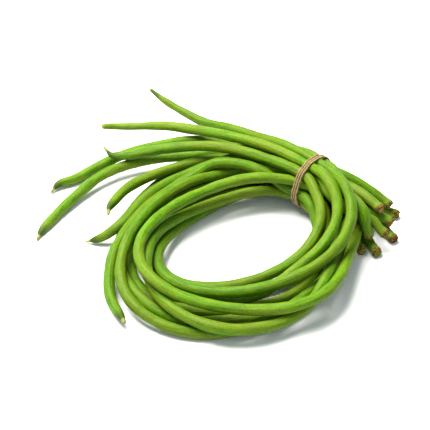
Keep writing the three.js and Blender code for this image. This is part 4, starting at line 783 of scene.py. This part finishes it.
    # painted highlight mask: the raised seam cord, painted pale in the material as the light on that ridge
    seam_highlight = [((0.9 * cord - 0.5 * groove * 0) * fade).clip(0, 1).reshape(-1)]
    quads = [grid_faces(len(s), AROUND)]
    at = len(s) * AROUND
    # places on the end discs, by vertex: (cut end, tip)
    spin = np.stack([np.cos(th), np.sin(th)], 1)
    disc = [{}, {}]
    disc[0].update({k: spin[k] for k in range(AROUND)})
    disc[1].update({(len(s) - 1) * AROUND + k: spin[k] for k in range(AROUND)})

    # the cut face: lip, then a sunken fibrous middle
    cap_rows = []
    rim = ring[0] - c[0]
    rim_r = np.linalg.norm(rim, axis=1)
    for share, sink, mark in ((0.94, -0.40, 0.10), (0.84, -0.95, 0.30), (0.70, -1.30, 0.50), (0.54, -1.05, 0.8),
                              (0.36, -0.85, 1.0), (0.18, -1.05, 1.0)):
        rough = 0.75 * (rng.random(AROUND) - 0.5)
        rough = (rough + np.roll(rough, 1) + 0.5 * np.roll(rough, 2)) / 1.6
        lip = 0.26 * jag * (1.0 if share > 0.9 else 0.5 if share > 0.7 else 0.15)
        p = c[0] + rim * share + t[0] * (sink - lip + rough * (1.0 if share < 0.9 else 0.4))[:, None]
        cap_rows.append(p)
        co.append(np.stack([rim_r * share * np.cos(th), rim_r * share * np.sin(th), np.full(AROUND, -sink * 2)], 1))
        ends.append(np.stack([np.zeros(AROUND), np.full(AROUND, total), np.full(AROUND, mark)], 1))
        seam_highlight.append(np.zeros(AROUND))
    rows += cap_rows
    first = np.arange(AROUND)
    nxt = np.roll(first, -1)
    prev = first
    for k in range(len(cap_rows)):
        cur = at + k * AROUND + first
        share = (0.88, 0.74, 0.60, 0.45, 0.30, 0.15)[k]
        disc[0].update({int(v): spin[q] * share for q, v in enumerate(cur)})
        quads.append(np.stack([prev, cur, np.roll(cur, -1), np.roll(prev, -1)], 1))
        prev = cur
    at += len(cap_rows) * AROUND
    rows.append((c[0] - t[0] * 0.95)[None, :])
    co.append(np.array([[0, 0, -1.0]]))
    ends.append(np.array([[0, total, 1.0]]))
    seam_highlight.append(np.zeros(1))
    tris = [np.stack([prev, np.full(AROUND, at), np.roll(prev, -1)], 1)]
    disc[0][at] = np.zeros(2)
    at += 1

    # rounded tip
    prev = (len(s) - 1) * AROUND + first
    end_r = rr[-1]
    for a in (20, 40, 58, 74):
        a = math.radians(a)
        p = c[-1] + dirs[-1] * (end_r * math.cos(a))[:, None] + t[-1] * (end_r.mean() * math.sin(a) * 0.9)
        rows.append(p)
        co.append(np.stack([end_r * math.cos(a) * np.cos(th), end_r * math.cos(a) * np.sin(th),
                            np.full(AROUND, total + math.sin(a))], 1))
        ends.append(np.stack([np.full(AROUND, total), np.zeros(AROUND), np.zeros(AROUND)], 1))
        seam_highlight.append(np.zeros(AROUND))
        cur = at + first
        disc[1].update({int(v): spin[q] * math.cos(a) ** 0.7 * 0.95 for q, v in enumerate(cur)})
        quads.append(np.stack([prev, np.roll(prev, -1), np.roll(cur, -1), cur], 1))
        prev = cur
        at += AROUND
    rows.append((c[-1] + t[-1] * end_r.mean() * 0.92)[None, :])
    co.append(np.array([[0, 0, total + 1.0]]))
    ends.append(np.array([[total, 0, 0.0]]))
    seam_highlight.append(np.zeros(1))
    tris.append(np.stack([prev, np.roll(prev, -1), np.full(AROUND, at)], 1))
    disc[1][at] = np.zeros(2)

    end_faces = [f for q in quads[1:] for f in q] + [f for q in tris for f in q]
    uv = [skin_map(s, AROUND)]
    for f in end_faces:
        which = 0 if all(int(v) in disc[0] for v in f) else 1
        middle = np.array([0.95, 0.05 + 0.10 * which])
        uv.append(np.array([middle + disc[which][int(v)] * 0.045 for v in f]))
    uv = np.vstack(uv)

    verts = np.vstack(rows)
    verts[:, 2] = np.maximum(verts[:, 2], 0.0)
    material = pod_material(name + "_skin", seed, bright, yellow, cut_kind, tip_kind == 1)
    ob = mesh_object(name + "_pod", verts, np.vstack(quads), np.vstack(tris),
                     {"pod_seam_highlight": np.concatenate(seam_highlight)},
                     {"pod_co": np.vstack(co), "pod_end": np.vstack(ends)}, material, uv)
    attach(ob, "root")
    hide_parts(name)
    return ob


for pod_name in PODS:
    build_pod(pod_name)


# ------------------------------------------------------------------- twine
def build_twine():
    rng = np.random.default_rng(5)
    turns, per_turn = 3.06, 420
    count = int(turns * per_turn)
    u = np.linspace(-0.03, turns - 0.03, count)          # turns from the underside
    ang = 2 * math.pi * u - math.pi / 2                  # 0 outer side, 90 over the top
    k = (ang / (2 * math.pi) % 1.0) * len(TIE_RADII)
    # smooth periodic reading of the measured ring
    def ring_at(x):
        i = np.floor(x).astype(int)
        f = x - i
        p = [TIE_RADII[(i + d) % len(TIE_RADII)] for d in (-1, 0, 1, 2)]
        return ((2 * p[1]) + (-p[0] + p[2]) * f + (2 * p[0] - 5 * p[1] + 4 * p[2] - p[3]) * f**2
                + (-p[0] + 3 * p[1] - 3 * p[2] + p[3]) * f**3) / 2
    r = ring_at(k)
    up = np.sin(ang)
    side = np.cos(ang)
    # the windings lie close over the top and outer side, and fan out below
    pitch = 1.36 + 0.62 * (0.5 - 0.5 * up) * (0.6 - 0.4 * side)
    middle = u - turns / 2 + 0.03
    along = middle * pitch + 0.20 * np.sin(2 * math.pi * (u * 0.9 + 0.1)) + 0.12 * np.sin(2 * math.pi * (u * 2.3 + 0.4))
    along = along + 0.42 * smooth(1.9, 2.2, u) * (0.62 - 0.55 * up)
    r = r - 0.52 + 0.05 * np.sin(2 * math.pi * u * 3.7)
    line = (TIE_CENTRE + np.cos(ang)[:, None] * r[:, None] * TIE_SIDE
            + np.array([0, 0, 1.0]) * (np.sin(ang) * r)[:, None] + TIE_AXIS * along[:, None])
    t, n, b = carried_frames(line, TIE_AXIS)
    seg = np.concatenate([[0], np.cumsum(np.linalg.norm(np.diff(line, axis=0), axis=1))])
    lay = 3.6                                            # one twist of the plies, mm
    verts, quads, tris, co, deep = [], [], [], [], []
    at = 0
    around = 12
    th = np.arange(around) * 2 * math.pi / around
    for ply in range(3):
        a = 2 * math.pi * (seg / lay + ply / 3.0) + 0.25 * np.sin(seg / 7.0 + ply)
        off = 0.30
        centre = line + off * (np.cos(a)[:, None] * n + np.sin(a)[:, None] * b)
        pt, pn, pb = carried_frames(centre, n[0])
        rad = 0.33 * (1 + 0.07 * waves(rng, seg, 2.5, 9, 4))
        away = (centre - line) / off
        lumps = 1 + 0.05 * np.sin(5 * th[None, :] + seg[:, None] * 1.3 + ply)
        dirs = np.cos(th)[None, :, None] * pn[:, None, :] + np.sin(th)[None, :, None] * pb[:, None, :]
        ringv = centre[:, None, :] + (rad[:, None] * lumps)[:, :, None] * dirs
        verts.append(ringv.reshape(-1, 3))
        # painted shade mask: near 1 where a ply's surface faces into the twine, turned dark brown in the material
        facing = (dirs * away[:, None, :]).sum(2)
        deep.append(((0.25 - facing) / 1.0).clip(0, 1).reshape(-1))
        co.append(np.stack([np.broadcast_to(0.33 * np.cos(th)[None, :] + ply * 9.0, facing.shape),
                            np.broadcast_to(0.33 * np.sin(th)[None, :], facing.shape),
                            np.broadcast_to(seg[:, None], facing.shape)], 2).reshape(-1, 3))
        quads.append(grid_faces(len(seg), around, at))
        start = at
        at += len(seg) * around
        for last, end in ((False, 0), (True, len(seg) - 1)):
            verts.append(centre[end][None, :] + (pt[end] * (0.1 if last else -0.1))[None, :])
            deep.append(np.array([0.3]))
            co.append(np.array([[ply * 9.0, 0, seg[end]]]))
            f = start + end * around + np.arange(around)
            tris.append(np.stack([f, np.roll(f, -1), np.full(around, at)], 1) if last
                        else np.stack([np.roll(f, -1), f, np.full(around, at)], 1))
            at += 1
    # loose fibres standing off the twine
    for _ in range(70):
        i = int(rng.integers(10, len(seg) - 60))
        span = int(rng.integers(8, 26))
        a0 = rng.uniform(0, 2 * math.pi)
        steps = 7
        idx = np.linspace(i, i + span, steps).astype(int)
        lift = np.linspace(0, 1, steps) ** 1.5 * rng.uniform(0.25, 0.9)
        ray = math.cos(a0) * n[idx] + math.sin(a0) * b[idx]
        outward = line[idx] - TIE_CENTRE
        outward /= np.linalg.norm(outward, axis=1)[:, None]
        keep = (ray * outward).sum(1, keepdims=True)
        ray = ray + outward * np.where(keep < 0.2, 0.9 - keep, 0)
        ray /= np.linalg.norm(ray, axis=1)[:, None]
        pts = line[idx] + ray * (0.58 + lift)[:, None]
        ft, fn, fb = carried_frames(pts, n[i])
        fr = np.linspace(0.045, 0.015, steps)
        for j in range(3):
            a = 2 * math.pi * j / 3
            verts.append(pts + fr[:, None] * (math.cos(a) * fn + math.sin(a) * fb))
            deep.append(np.zeros(steps))
            co.append(np.stack([np.full(steps, 40.0 + j), np.zeros(steps), np.linspace(0, 3, steps)], 1))
        for j in range(3):
            p0 = at + j * steps + np.arange(steps - 1)
            p1 = at + ((j + 1) % 3) * steps + np.arange(steps - 1)
            quads.append(np.stack([p0, p1, p1 + 1, p0 + 1], 1))
        tris.append(np.array([[at, at + 2 * steps, at + steps],
                              [at + steps - 1, at + 2 * steps - 1, at + 3 * steps - 1]]))
        at += 3 * steps
    ob = mesh_object("tie_twine_windings", np.vstack(verts), np.vstack(quads), np.vstack(tris),
                     {"twine_painted_shade": np.concatenate(deep)}, {"twine_co": np.vstack(co)}, twine_material())
    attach(ob, "root")
    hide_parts("tie_twine")
    return ob


build_twine()


# ------------------------------------------------------------------- stage
def build_floor():
    me = bpy.data.meshes.new("floor")
    h = 3.0
    me.from_pydata([(-h, -h, 0), (h, -h, 0), (h, h, 0), (-h, h, 0)], [], [(0, 1, 2, 3)])
    m, nt = new_material("floor_white")
    N = Nodes(nt)
    shader = N.add("ShaderNodeBsdfPrincipled")
    shader.inputs["Base Color"].default_value = (0.80, 0.80, 0.80, 1)
    shader.inputs["Roughness"].default_value = 0.9
    shader.inputs["Specular IOR Level"].default_value = 0.1
    N.add("ShaderNodeOutputMaterial", Surface=shader.outputs[0])
    me.materials.append(m)
    ob = bpy.data.objects.new("floor", me)
    bpy.context.scene.collection.objects.link(ob)
    ob.location = (0, 0, -0.0001)


build_floor()


def area_light(name, place, target, size, watts, colour=(1, 1, 1)):
    data = bpy.data.lights.new(name, "AREA")
    data.shape = "SQUARE"
    data.size = size
    data.energy = watts
    data.color = colour
    ob = bpy.data.objects.new(name, data)
    ob.location = place
    ob.rotation_euler = (Vector(target) - Vector(place)).to_track_quat("-Z", "Y").to_euler()
    bpy.context.scene.collection.objects.link(ob)
    return ob


area_light("softbox", (-0.36, 0.26, 1.0), (0, 0, 0.01), 0.80, 52.0, (1.0, 0.965, 0.91))
area_light("front_fill", (0.25, -1.1, 0.9), (0, 0, 0.01), 0.9, 2.0)

scene = bpy.context.scene
world = bpy.data.worlds.new("soft_white")
world.use_nodes = True
world.node_tree.nodes["Background"].inputs[0].default_value = (0.84, 0.95, 0.98, 1)
world.node_tree.nodes["Background"].inputs[1].default_value = 0.58
scene.world = world
scene.view_settings.view_transform = "Standard"

# ------------------------------------------------------------------ camera
cam = bpy.data.cameras.new("camera")
cam.lens = 100.0
cam.sensor_width = 36.0
cam.sensor_fit = "HORIZONTAL"
cam.clip_start = 0.02
camera = bpy.data.objects.new("camera", cam)
place = Vector((-0.002852, -0.623724, 0.525112))
look = Vector((-0.002852, -0.014336, 0.013775))
camera.location = place
camera.rotation_euler = (look - place).to_track_quat("-Z", "Y").to_euler()
scene.collection.objects.link(camera)
scene.camera = camera
